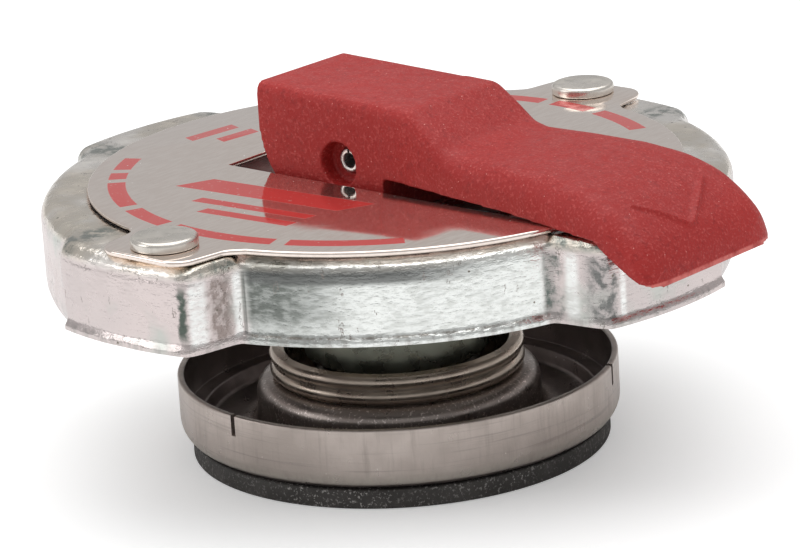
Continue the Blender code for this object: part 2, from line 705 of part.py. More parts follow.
def build_upper_stack():
    low = POCKET_FLOOR_Z + FIT_GAP
    back = POCKET_BACK_X + WEAR_PLATE_MARGIN
    front = POCKET_FRONT_X - WEAR_PLATE_MARGIN
    side = POCKET_HALF_WIDTH - WEAR_PLATE_MARGIN
    corner = WEAR_PLATE_CORNER_R
    outline = []
    for x, y, start in ((front - corner, side - corner, 0.0), (back + corner, side - corner, 90.0),
                        (back + corner, corner - side, 180.0), (front - corner, corner - side, 270.0)):
        outline += arc((x, y), corner, start, start + 90.0, 3)
    plate = prism("wear_plate", outline, low, low + WEAR_PLATE_THICK, BRIGHT_STEEL, PARTS)
    stem_hole = round_hole("wear_plate_hole", STEM_R + SLIDE_GAP, 0.0, 0.0, low - 1.0, low + 1.0)
    combine(plate, stem_hole, "DIFFERENCE")

    rim_top = CHANNEL_Z - SHEET - 2.0 * STACK_GAP
    hole_r = COLLAR_R + FIT_GAP
    turned("spring_disc", [
        (hole_r, DISC_TOP_Z),
        (DISC_FLAT_R, DISC_TOP_Z),
        (DISC_RIM_INNER_R, rim_top),
        (DISC_R, rim_top),
        (DISC_R, rim_top - DISC_SHEET),
        (DISC_RIM_INNER_R + 0.2, rim_top - DISC_SHEET),
        (DISC_FLAT_R + 0.2, DISC_TOP_Z - DISC_SHEET),
        (hole_r, DISC_TOP_Z - DISC_SHEET),
    ], BRIGHT_STEEL, steps=36)

    gasket_top = rim_top - DISC_SHEET - FIT_GAP
    gasket_r = DISC_R - 0.2
    turned("upper_gasket", [
        (gasket_r - 0.2, gasket_top),
        (gasket_r, gasket_top - 0.2),
        (gasket_r, gasket_top - UPPER_GASKET_THICK + 0.2),
        (gasket_r - 0.2, gasket_top - UPPER_GASKET_THICK),
        (gasket_r - UPPER_GASKET_WIDTH, gasket_top - UPPER_GASKET_THICK),
        (gasket_r - UPPER_GASKET_WIDTH, gasket_top),
    ], RUBBER, steps=36)

    bell_inner = BELL_R - BELL_SHEET
    ceiling = BELL_TOP_Z - BELL_SHEET
    profile = [(hole_r, BELL_TOP_Z)]
    profile += arc((BELL_R - 1.2, BELL_TOP_Z - 1.2), 1.2, 90.0, 0.0, 3)
    profile += [(BELL_R, BELL_BOTTOM_Z), (bell_inner, BELL_BOTTOM_Z)]
    profile += arc((bell_inner - 0.6, ceiling - 0.6), 0.6, 0.0, 90.0, 2)
    profile.append((hole_r, ceiling))
    turned("bell", profile, GREEN_STEEL, steps=30)

    washer_top = ceiling - STACK_GAP
    washer_r = bell_inner - 0.7
    turned("spring_washer", [
        (washer_r, washer_top),
        (washer_r, washer_top - SPRING_WASHER_THICK),
        (COLLAR_R + COLLAR_FLARE + 1.4, washer_top - SPRING_WASHER_THICK),
        (COLLAR_R + COLLAR_FLARE + 1.4, washer_top),
    ], BRIGHT_STEEL, steps=24)
    return washer_top - SPRING_WASHER_THICK, bell_inner


def build_seal():
    flare_low = COLLAR_FLARE_TOP_Z - COLLAR_FLARE_THICK
    flare_r = COLLAR_R + COLLAR_FLARE
    seal_top = flare_low - FIT_GAP
    turned("stem_seal", [
        (flare_r - 0.1, seal_top),
        (flare_r - 0.1, seal_top - SEAL_THICK),
        (STEM_R + FIT_GAP, seal_top - SEAL_THICK),
        (STEM_R + FIT_GAP, seal_top),
    ], RUBBER, steps=20)
    cup_inner = flare_r + FIT_GAP
    cup_floor = seal_top - SEAL_THICK - FIT_GAP
    turned("seal_cup", [
        (cup_inner, COLLAR_FLARE_TOP_Z - 0.1),
        (cup_inner + SEAL_CUP_SHEET, COLLAR_FLARE_TOP_Z - 0.1),
        (cup_inner + SEAL_CUP_SHEET, cup_floor - SEAL_CUP_SHEET),
        (STEM_R + SLIDE_GAP, cup_floor - SEAL_CUP_SHEET),
        (STEM_R + SLIDE_GAP, cup_floor),
        (cup_inner, cup_floor),
    ], BRIGHT_STEEL, steps=20)


def build_spring(top, bell_inner):
    bottom = SEAT_FLOOR_Z + SEAT_SHEET + STACK_GAP
    mean_r = bell_inner - SPRING_RADIAL_GAP - SPRING_WIRE_R
    low = bottom + SPRING_WIRE_R
    high = top - STACK_GAP - SPRING_WIRE_R
    per_turn = 8
    count = int(SPRING_TURNS * per_turn)
    closed = 0.9
    curve = bpy.data.curves.new("pressure_spring", "CURVE")
    curve.dimensions = "3D"
    curve.bevel_depth = SPRING_WIRE_R * MM
    curve.bevel_resolution = 2
    curve.use_fill_caps = True
    line = curve.splines.new("POLY")
    line.points.add(count)
    pitch_end = 2.0 * SPRING_WIRE_R * 1.08
    for i in range(count + 1):
        turn = SPRING_TURNS * i / count
        if turn < closed:
            height = low + pitch_end * turn
        elif turn > SPRING_TURNS - closed:
            height = high - pitch_end * (SPRING_TURNS - turn)
        else:
            share = (turn - closed) / (SPRING_TURNS - 2.0 * closed)
            start = low + pitch_end * closed
            end = high - pitch_end * closed
            height = start + (end - start) * share
        angle = math.tau * turn
        point = Vector((mean_r * math.cos(angle), mean_r * math.sin(angle), height)) * MM
        line.points[i].co = (*point, 1.0)
    add_object("pressure_spring", curve, SPRING_STEEL)


# Valve that seals in the filler neck

def build_valve():
    wall_inner = SEAT_WALL_R - SEAT_SHEET
    bead_low = DOME_TOP_Z + STACK_GAP
    bead_mid = bead_low + SEAT_BEAD_HEIGHT
    bead_top = bead_mid + SEAT_BEAD_HEIGHT
    crimp_top = DOME_TOP_Z - DISH_SHEET - STACK_GAP
    profile = [(wall_inner + 0.4, bead_top)]
    for top, low in ((bead_top, bead_mid), (bead_mid, bead_low)):
        height = top - low
        for share in (0.1, 0.5, 0.9):
            bulge = math.sin(math.pi * share) ** 0.6
            profile.append((SEAT_WALL_R + SEAT_BEAD_REACH * (0.35 + 0.65 * bulge), top - height * share))
    profile += [
        (SEAT_WALL_R + 0.2, bead_low),
        (SEAT_WALL_R, bead_low - 0.1),
        (SEAT_WALL_R, crimp_top),
        (SEAT_WALL_R + SEAT_CRIMP_REACH, crimp_top - 0.5 * SEAT_CRIMP_HEIGHT),
        (SEAT_WALL_R, crimp_top - SEAT_CRIMP_HEIGHT),
        (SEAT_WALL_R, SEAT_FLOOR_Z + 0.7),
        (SEAT_WALL_R - 0.7, SEAT_FLOOR_Z),
        (STEM_R + SLIDE_GAP, SEAT_FLOOR_Z),
        (STEM_R + SLIDE_GAP, SEAT_FLOOR_Z + SEAT_SHEET),
        (wall_inner - 0.3, SEAT_FLOOR_Z + SEAT_SHEET),
        (wall_inner, SEAT_FLOOR_Z + SEAT_SHEET + 0.3),
        (wall_inner, bead_top - 0.3),
    ]
    turned("spring_seat", profile, BRONZE_STEEL, steps=36)

    dome_hole = SEAT_WALL_R + STACK_GAP
    floor_top = DISH_BOTTOM_Z + DISH_SHEET
    inner_r = DISH_R - DISH_SHEET
    ledge_z = floor_top + DISH_LEDGE_RISE
    profile = [(inner_r + 0.2, DISH_TOP_Z), (DISH_R - 0.2, DISH_TOP_Z), (DISH_R, DISH_TOP_Z - 0.2)]
    profile += arc((DISH_R - DISH_CORNER_R, DISH_BOTTOM_Z + DISH_CORNER_R), DISH_CORNER_R, 0.0, -90.0, 3)
    profile += [(DOME_R - DISH_SHEET, DISH_BOTTOM_Z), (DOME_R - DISH_SHEET, DOME_TOP_Z - DISH_SHEET - 0.9)]
    profile += [(DOME_R - DISH_SHEET - 0.7, DOME_TOP_Z - DISH_SHEET), (dome_hole, DOME_TOP_Z - DISH_SHEET)]
    profile.append((dome_hole, DOME_TOP_Z))
    profile += arc((DOME_R - 1.5, DOME_TOP_Z - 1.5), 1.5, 90.0, 0.0, 2)
    profile += [
        (DOME_R, floor_top + 0.6),
        (DOME_R + 0.6, floor_top),
        (DISH_LEDGE_R - 0.8, floor_top),
        (DISH_LEDGE_R, ledge_z),
        (inner_r, ledge_z),
        (inner_r, DISH_TOP_Z - 0.2),
    ]
    dish = turned("valve_plate", profile, DULL_STEEL, steps=36)
    for angle in RIM_SLIT_ANGLES:
        slit = box("rim_slit_%d" % angle, (inner_r - 1.0, -0.5 * RIM_SLIT_WIDTH, DISH_TOP_Z - RIM_SLIT_DEPTH),
                   (DISH_R + 1.0, 0.5 * RIM_SLIT_WIDTH, DISH_TOP_Z + 1.0))
        slit.rotation_euler = (0.0, 0.0, math.radians(angle))
        combine(dish, slit, "DIFFERENCE")

    lip_low = GASKET_HEIGHT - GASKET_LIP_THICK
    turned("valve_gasket", [
        (GASKET_OUTER_R - 0.2, GASKET_HEIGHT),
        (GASKET_OUTER_R, GASKET_HEIGHT - 0.2),
        (GASKET_OUTER_R, 0.2),
        (GASKET_OUTER_R - 0.2, 0.0),
        (GASKET_RING_INNER_R, 0.0),
        (GASKET_RING_INNER_R, lip_low),
        (GASKET_LIP_INNER_R, lip_low),
        (GASKET_LIP_INNER_R, GASKET_HEIGHT),
    ], RUBBER, steps=36)

    retainer_top = lip_low - FIT_GAP
    turned("gasket_retainer", [
        (GASKET_RING_INNER_R - STACK_GAP, retainer_top),
        (GASKET_RING_INNER_R - STACK_GAP, retainer_top - RETAINER_THICK),
        (RETAINER_INNER_R, retainer_top - RETAINER_THICK),
        (RETAINER_INNER_R, retainer_top),
    ], DULL_STEEL, steps=32)

    vent_low = STEM_FOOT_THICK + FIT_GAP
    vent_top = vent_low + VENT_THICK
    vent_hole = STEM_NECK_R + SLIDE_GAP
    turned("vacuum_valve", [
        (vent_hole, vent_top),
        (VENT_R, vent_top),
        (VENT_R, vent_low),
        (vent_hole, vent_low),
    ], BRASS, steps=24)
    seal_low = vent_top + 0.02
    turned("vacuum_seal", [
        (VENT_R - VENT_SEAL_WIDTH, seal_low + VENT_SEAL_THICK),
        (VENT_R, seal_low + VENT_SEAL_THICK),
        (VENT_R, seal_low),
        (VENT_R - VENT_SEAL_WIDTH, seal_low),
    ], RUBBER, steps=24)


build_shell()
build_plate()
for place, rivet_y in rivet_places():
    build_rivet(place, rivet_y)
build_lever()
build_stem()
spring_top, bell_bore = build_upper_stack()
build_seal()
build_spring(spring_top, bell_bore)
build_valve()
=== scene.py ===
"""Looks of the radiator cap: its finished surfaces, camera, light and floor.

The cap's axis is Z, the lever's handle points along +X and the valve gasket's sealing face is z = 0.
Sizes are millimetres until MM turns them into metres, and they repeat those of the CAD part.
"""

import math

import bmesh
import bpy
from mathutils import Matrix, Vector


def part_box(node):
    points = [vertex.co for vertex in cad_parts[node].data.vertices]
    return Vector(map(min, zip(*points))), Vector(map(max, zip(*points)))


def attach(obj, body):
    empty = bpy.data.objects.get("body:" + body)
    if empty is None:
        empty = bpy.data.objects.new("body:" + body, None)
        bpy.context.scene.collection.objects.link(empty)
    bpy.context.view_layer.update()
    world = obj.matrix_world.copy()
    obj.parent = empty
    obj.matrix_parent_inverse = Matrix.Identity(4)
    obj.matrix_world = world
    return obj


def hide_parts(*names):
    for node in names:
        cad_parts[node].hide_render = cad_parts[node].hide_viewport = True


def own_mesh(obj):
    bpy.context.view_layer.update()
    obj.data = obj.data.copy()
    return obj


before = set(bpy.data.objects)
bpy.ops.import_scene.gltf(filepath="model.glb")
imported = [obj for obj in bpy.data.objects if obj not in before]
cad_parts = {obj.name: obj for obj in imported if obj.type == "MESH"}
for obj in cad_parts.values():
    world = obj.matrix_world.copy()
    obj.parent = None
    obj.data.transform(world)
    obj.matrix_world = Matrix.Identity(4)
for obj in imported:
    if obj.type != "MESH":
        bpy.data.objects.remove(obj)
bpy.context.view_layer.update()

MM = 0.001
STACK_GAP = 0.10
FIT_GAP = 0.05
SLIDE_GAP = 0.10
CUT_MARGIN = 1.0
SAME_PLACE = 0.001
SHARP_ANGLE = math.radians(35.0)
NEARLY_STRAIGHT = math.radians(89.0)


def low_z(node):
    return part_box(node)[0].z / MM


def high_z(node):
    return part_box(node)[1].z / MM


def reach(node):
    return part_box(node)[1].x / MM


# Levels and radii read from the frame
GASKET_OUTER_R = reach("valve_gasket")
GASKET_HEIGHT = high_z("valve_gasket")
DISH_R = reach("valve_plate")
DISH_TOP_Z = high_z("valve_plate")
DISH_BOTTOM_Z = low_z("valve_plate")
SEAT_BEAD_R = reach("spring_seat")
SEAT_TOP_Z = high_z("spring_seat")
SEAT_FLOOR_Z = low_z("spring_seat")
BELL_R = reach("bell")
BELL_TOP_Z = high_z("bell")
BELL_BOTTOM_Z = low_z("bell")
PLATE_Z = low_z("label_plate")
PLATE_TOP_Z = high_z("label_plate")
LAND_Z = high_z("shell")
POCKET_FLOOR_Z = low_z("wear_plate") - FIT_GAP

# Pocket for the lever's heel, with the collar around the stem
SHEET = 0.8
POCKET_BACK_X = -15.3
POCKET_FRONT_X = 12.0
POCKET_HALF_WIDTH = 8.1
POCKET_OUTER_CORNER_R = 1.4
POCKET_INNER_CORNER_R = 0.6
POCKET_REACH = math.hypot(POCKET_BACK_X - SHEET, POCKET_HALF_WIDTH + SHEET)
COLLAR_R = 2.5
COLLAR_FLARE = 1.4
COLLAR_FLARE_THICK = 0.6
STEM_R = 1.5
STEM_NECK_R = 1.0

# Shell; angles are degrees around half a turn
LAND_MARGIN = 3.0
LAND_R = POCKET_REACH + LAND_MARGIN
CHANNEL_DEPTH = 1.4
CHANNEL_SLOPE = 0.3
CHANNEL_R = 27.4
RIM_LAND_R = 29.0
RECESS_R = 31.3
RECESS_DEPTH = 5.7
LOBE_MIN_R = RECESS_R + RECESS_DEPTH
LOBE_MAX_R = 38.0
TAB_R = 36.0
SKIRT_Z = 20.4
SKIRT_FLARE = 0.4
SKIRT_FLARE_HEIGHT = 1.3
TAB_CURL_R = 4.5
TAB_BOTTOM_Z = 16.7
TAB_TIP_R = 26.6
SHOULDER_R = 2.0
OUTER_BENDS = [0.0, 0.6, 0.3, 1.0, 0.5, SHOULDER_R, 0.0]
INNER_BENDS = [0.0, 0.1, 0.8, 1.5, 0.1, SHOULDER_R - SHEET, 0.0]
SLIT_TOP_Z = 24.5
FLAT_START = 104.0
FLAT_END = 161.0
LOBE_X_START = 167.0
LOBE_X_END = 12.5
TAB_START = 18.5
TAB_END = 65.5
LOBE_Y_START = 72.5
LOBE_Y_END = 98.5
SLIT_OVERLAP = 0.4

# Label plate and rivets
PLATE_R = 31.0
PLATE_EDGE_R = 0.25
PLATE_EAR_REACH = 37.0
PLATE_EAR_HALF_WIDTH = 6.0
PLATE_EAR_TAPER = 0.4
PLATE_EAR_ROOT_HALF_WIDTH = 8.0
PLATE_EAR_ROOT_SPREAD = 0.5
PLATE_EAR_ROOT_RISE = 1.2
PLATE_EAR_ROOT_R = 1.5
PLATE_EAR_CORNER_R = 2.6
PLATE_SLOT_BACK_X = -15.0
PLATE_SLOT_HALF_WIDTH = 8.0
RIVET_CIRCLE_R = 33.0
RIVET_HEAD_R = 3.4
RIVET_HEAD_THICK = 1.1
RIVET_SHANK_R = 1.9
RIVET_TAIL_R = 2.6
RIVET_TAIL_THICK = 0.8
RIVET_BENDS = [0.0, 0.45, 0.15, 0.0, 0.0, 0.15, 0.35, 0.0]
RIVET_PLACES = (("front", -RIVET_CIRCLE_R), ("rear", RIVET_CIRCLE_R))

# Rings under the shell and under the valve
DISC_SHEET = 0.4
DISC_FLAT_R = POCKET_REACH + 3.0 * STACK_GAP
DISC_CONE_WIDTH = 2.4
DISC_CONE_SHIFT = 0.2
DISC_BENDS = [0.1, 0.9, 0.9, 0.15, 0.15, 0.9, 0.9, 0.1]
UPPER_GASKET_WIDTH = 5.4
UPPER_GASKET_EDGE_R = 0.25
RETAINER_WIDTH = 6.9
RETAINER_EDGE_R = 0.15
VENT_EDGE_R = 0.08

# Pressure spring
SPRING_WIRE_R = 0.9
SPRING_TURNS = 7.0
CLOSED_TURNS = 0.9
CLOSED_PITCH = 2.0 * SPRING_WIRE_R * 1.08

# Lever and pin, measured from the pin's axis
PIN_Z = 31.7
PIN_R = 1.3
PIN_BORE_R = 0.75
PIN_EDGE_R = 0.15
PIN_HALF_LENGTH = 5.5
PIN_SLIT = 0.3
COUNTERBORE_R = 2.35
COUNTERBORE_DEPTH = 2.0
LEVER_HALF_WIDTH = 7.2
HANDLE_HALF_WIDTH = 10.3
HANDLE_FLARE_START_X = 8.0
HANDLE_FLARE_LENGTH = 29.0
HANDLE_TIP_X = 42.9
THUMB_CORNER_R = 2.4
BODY_CROWN_R = 1.1
HANDLE_CROWN_R = 2.8
CROWN_GROWTH = (6.0, 20.0)
CROWN_DEPTH = 14.0
SEAM_X = 6.0
SEAM_HALF_WIDTH = 0.1
SEAM_STEP = 0.22
SEAM_FADE = (12.0, 26.0)
HANDLE_WALL = 1.7
HOLLOW_TAPER_START_X = 37.0
HOLLOW_TAPER = 0.7
HOLLOW_BEVEL_WIDTH = 0.8
HOLLOW_BEVEL_DEPTH = 0.5
HOLLOW_MOUTH_Z = -1.0
HOLLOW_MOUTH_DROP = 6.0
HEEL_REACH_DOWN = 5.3
HEEL_REACH_BACK = 10.9
LEVER_TURN = math.radians(90.0)
CAM_RATE = (HEEL_REACH_BACK - HEEL_REACH_DOWN) / LEVER_TURN
TANG_THICK = 3.0
TANG_R = 2.6
TANG_SLOT_MARGIN = 0.8
TANG_SLOT_BACK_X = -13.0
LEVER_TOP = [(-12.0, 7.5), (9.9, 6.9), (12.2, 5.3), (14.6, 3.5), (16.6, 3.05), (22.5, 3.05), (28.5, 2.8),
             (33.3, 2.15), (36.4, 1.05), (38.9, -0.45), (40.9, -2.2), (42.0, -4.2), (42.5, -6.0)]
LEVER_TOP_BENDS = [0.0, 2.0, 4.0, 3.0, 2.5, 0.0, 0.0, 12.0, 12.0, 12.0, 6.0, 6.0, 0.0]
LEVER_AROUND = [(-HEEL_REACH_BACK, 6.3), (-10.5, 12.0), (46.0, 12.0), (46.0, -6.2), (42.4, -6.2)]
LEVER_UNDER = [(41.2, -5.7), (39.9, -5.1), (37.7, -3.7), (35.5, -2.2), (31.2, -1.9), (23.0, -1.3),
               (15.7, -1.05), (6.4, -0.7), (6.0, -1.2), (6.0, -4.9), (5.6, -HEEL_REACH_DOWN)]
HOLLOW_ROOF = [(7.6, 4.9), (9.4, 4.9), (11.6, 3.3), (14.2, 1.6), (16.4, 1.35), (22.4, 1.35), (28.2, 1.1),
               (32.8, 0.5), (35.6, -0.5), (37.7, -1.7), (39.4, -3.2), (40.2, -4.6)]
CHEVRON = (((37.1, -6.2), (40.7, -1.2)), ((37.1, 5.6), (40.7, -0.9)))
CHEVRON_WIDTH = 0.9
CHEVRON_HEIGHT = 0.38
CHEVRON_ROOT = 0.5
SIDE_CUTTER_REACH = 14.0
SKIN_VOXEL = 0.2
SKIN_EASE = 0.5
SKIN_EASE_ROUNDS = 3

# Valve and bell
DISH_SHEET = 0.7
DISH_CORNER_R = 2.05
DISH_LEDGE_R = 20.8
DISH_LEDGE_SLOPE = 0.6
DISH_LEDGE_RISE = 1.5
DOME_R = 15.0
DOME_TOP_Z = 7.8
DISH_BENDS = [0.2, 0.2, DISH_CORNER_R, 0.0, 0.8, 0.0, 0.3, 1.6, 1.2, 0.5, 0.3, 0.1]
RIM_SLIT_ANGLES = (24.5, 144.5, 264.5)
RIM_SLIT_WIDTH = 0.6
RIM_SLIT_DEPTH = 2.2
SEAT_WALL_R = 12.5
SEAT_SHEET = 0.6
SEAT_LIP = 0.4
SEAT_CRIMP_REACH = 0.6
SEAT_CRIMP_HEIGHT = 0.8
SEAT_FLOOR_R = 0.7
SEAT_FLOOR_INNER_R = 0.3
BEAD_NECK = 0.35
BEAD_FULLNESS = 0.6
BEAD_FOOT_REACH = 0.2
BEAD_FOOT_HEIGHT = 0.1
SEAT_LIP_DEPTH = 0.3
GASKET_RING_INNER_R = 15.0
GASKET_LIP_INNER_R = 7.0
GASKET_LIP_THICK = 0.5
GASKET_BENDS = [0.2, 0.2, 0.15, 0.0, 0.0, 0.0]
BELL_SHEET = 0.6
BELL_BENDS = [0.0, 1.2, 0.2, 0.2, 0.6, 0.0]

# Print on the plate: dashes along its rim, as angles in degrees, and slanted bars, each given as
# centre x, centre y, direction in degrees, half length, half width and slant
PRINT_INNER_R = 27.0
PRINT_OUTER_R = 28.9
PRINT_EDGE = 0.06
PRINT_DASHES = ((-156.0, -147.0), (-144.5, -139.5), (-137.0, -118.0), (-115.0, -101.0), (-98.0, -72.0),
                (-69.0, -45.0), (58.0, 76.0), (79.0, 90.0), (93.0, 103.0))
PRINT_BARS = ((-2.6, -14.2, 4.0, 10.6, 1.9, 0.55), (-1.2, -18.9, 4.0, 7.4, 0.75, 0.2),
              (0.4, -21.6, 4.0, 5.8, 0.75, 0.2), (-25.2, 0.4, 84.0, 3.3, 0.85, 0.2),
              (-22.0, 1.0, 84.0, 2.5, 0.85, 0.2))


# Outlines and solids

def fillet(points, radii, pieces=6, closed=False):
    """Outline with its corners rounded; radii holds one radius for each point."""
    result = []
    count = len(points)
    for i, point in enumerate(points):
        corner = Vector(point)
        if radii[i] == 0.0 or (not closed and i in (0, count - 1)):
            result.append(tuple(corner))
            continue
        to_before = (Vector(points[i - 1]) - corner).normalized()
        to_after = (Vector(points[(i + 1) % count]) - corner).normalized()
        half = 0.5 * to_before.angle(to_after)
        if half > NEARLY_STRAIGHT:
            result.append(tuple(corner))
            continue
        centre = corner + (to_before + to_after).normalized() * radii[i] / math.sin(half)
        first = corner + to_before * radii[i] / math.tan(half) - centre
        last = corner + to_after * radii[i] / math.tan(half) - centre
        turn = math.atan2(first.x * last.y - first.y * last.x, first.dot(last))
        for k in range(pieces + 1):
            angle = turn * k / pieces
            result.append((centre.x + first.x * math.cos(angle) - first.y * math.sin(angle),
                           centre.y + first.x * math.sin(angle) + first.y * math.cos(angle)))
    return result


def arc(centre, radius, start, end, pieces):
    points = []
    for i in range(pieces + 1):
        angle = math.radians(start + (end - start) * i / pieces)
        points.append((centre[0] + radius * math.cos(angle), centre[1] + radius * math.sin(angle)))
    return points


def smooth_mesh(mesh):
    for face in mesh.polygons:
        face.use_smooth = True
    mesh.set_sharp_from_angle(angle=SHARP_ANGLE)


def object_from(shape, name, look=None):
    bmesh.ops.recalc_face_normals(shape, faces=shape.faces)
    mesh = bpy.data.meshes.new(name)
    shape.to_mesh(mesh)
    shape.free()
    made = bpy.data.objects.new(name, mesh)
    bpy.context.scene.collection.objects.link(made)
    if look is not None:
        mesh.materials.append(look)
    return made


def bridge(shape, rings, closed_rings=True, closed_loop=False):
    """Faces between rings of points, and between the last ring and the first for a closed loop."""
    pairs = list(zip(rings, rings[1:]))
    if closed_loop:
        pairs.append((rings[-1], rings[0]))
    count = len(rings[0])
    for near, far in pairs:
        for j in range(count if closed_rings else count - 1):
            k = (j + 1) % count
            shape.faces.new((near[j], near[k], far[k], far[j]))


def vertices(shape, points):
    return [shape.verts.new(Vector(point) * MM) for point in points]


def around(angle, radius, height):
    """Point at an angle in radians around Z."""
    return radius * math.cos(angle), radius * math.sin(angle), height


def turned(name, profile, look=None, steps=144):
    """Solid turned about Z from a closed profile of (radius, height) points."""
    shape = bmesh.new()
    rings = []
    for i in range(steps):
        turn = math.tau * i / steps
        rings.append(vertices(shape, [around(turn, r, z) for r, z in profile]))
    bridge(shape, rings, closed_loop=True)
    bmesh.ops.remove_doubles(shape, verts=shape.verts, dist=SAME_PLACE * MM)
    loose = [edge for edge in shape.edges if not edge.link_faces]
    bmesh.ops.delete(shape, geom=loose, context="EDGES")
    made = object_from(shape, name, look)
    smooth_mesh(made.data)
    return made


def lofted(name, sections, look=None):
    """Solid through cross-sections that all have the same number of points."""
    shape = bmesh.new()
    rings = [vertices(shape, section) for section in sections]
    bridge(shape, rings)
    shape.faces.new(rings[0])
    shape.faces.new(rings[-1])
    return object_from(shape, name, look)


def prism(name, outline, low, high, look=None, along="Z"):
    sections = []
    for level in (low, high):
        sections.append([(a, b, level) if along == "Z" else (a, level, b) for a, b in outline])
    return lofted(name, sections, look)


def box(name, low, high):
    outline = [(low[0], low[1]), (high[0], low[1]), (high[0], high[1]), (low[0], high[1])]
    return prism(name, outline, low[2], high[2])


def disc(name, radius, centre, low, high, along="Z"):
    return prism(name, arc(centre, radius, 0.0, 360.0, 64)[:-1], low, high, along=along)


def apply_modifiers(made):
    bpy.context.view_layer.update()
    graph = bpy.context.evaluated_depsgraph_get()
    mesh = bpy.data.meshes.new_from_object(made.evaluated_get(graph))
    made.modifiers.clear()
    made.data = mesh


def combine(made, others, operation):
    """Adds or cuts with the other solids, which are then removed."""
    for other in others:
        change = made.modifiers.new(other.name, "BOOLEAN")
        change.operation = operation
        change.solver = "EXACT"
        change.object = other
    apply_modifiers(made)
    for other in others:
        bpy.data.objects.remove(other)


def soften(made, width, segments, angle):
    """Rounds the edges that turn by more than the angle."""
    bevel = made.modifiers.new("rounded_edges", "BEVEL")
    bevel.width = width * MM
    bevel.segments = segments
    bevel.limit_method = "ANGLE"
    bevel.angle_limit = math.radians(angle)
    apply_modifiers(made)


def put(made, body, node):
    """The finished piece stands for a CAD node and moves with its body."""
    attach(made, body)
    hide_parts(node)


def turned_piece(node, outline, bends, pieces, look, body, steps=144):
    """Turned solid with rounded corners that stands for a CAD node."""
    put(turned(node + "_finish", fillet(outline, bends, pieces, True), look, steps), body, node)


def keep_inside(made, node):
    """A smooth curve bulges a little past the facets of its solid, so it is held to their box."""
    low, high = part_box(node)
    for vertex in made.data.vertices:
        for axis in range(3):
            vertex.co[axis] = min(max(vertex.co[axis], low[axis]), high[axis])


# Materials

def rgba(colour):
    """A typed colour with its alpha, or the node output that carries one."""
    return (*colour, 1.0) if isinstance(colour, tuple) else colour


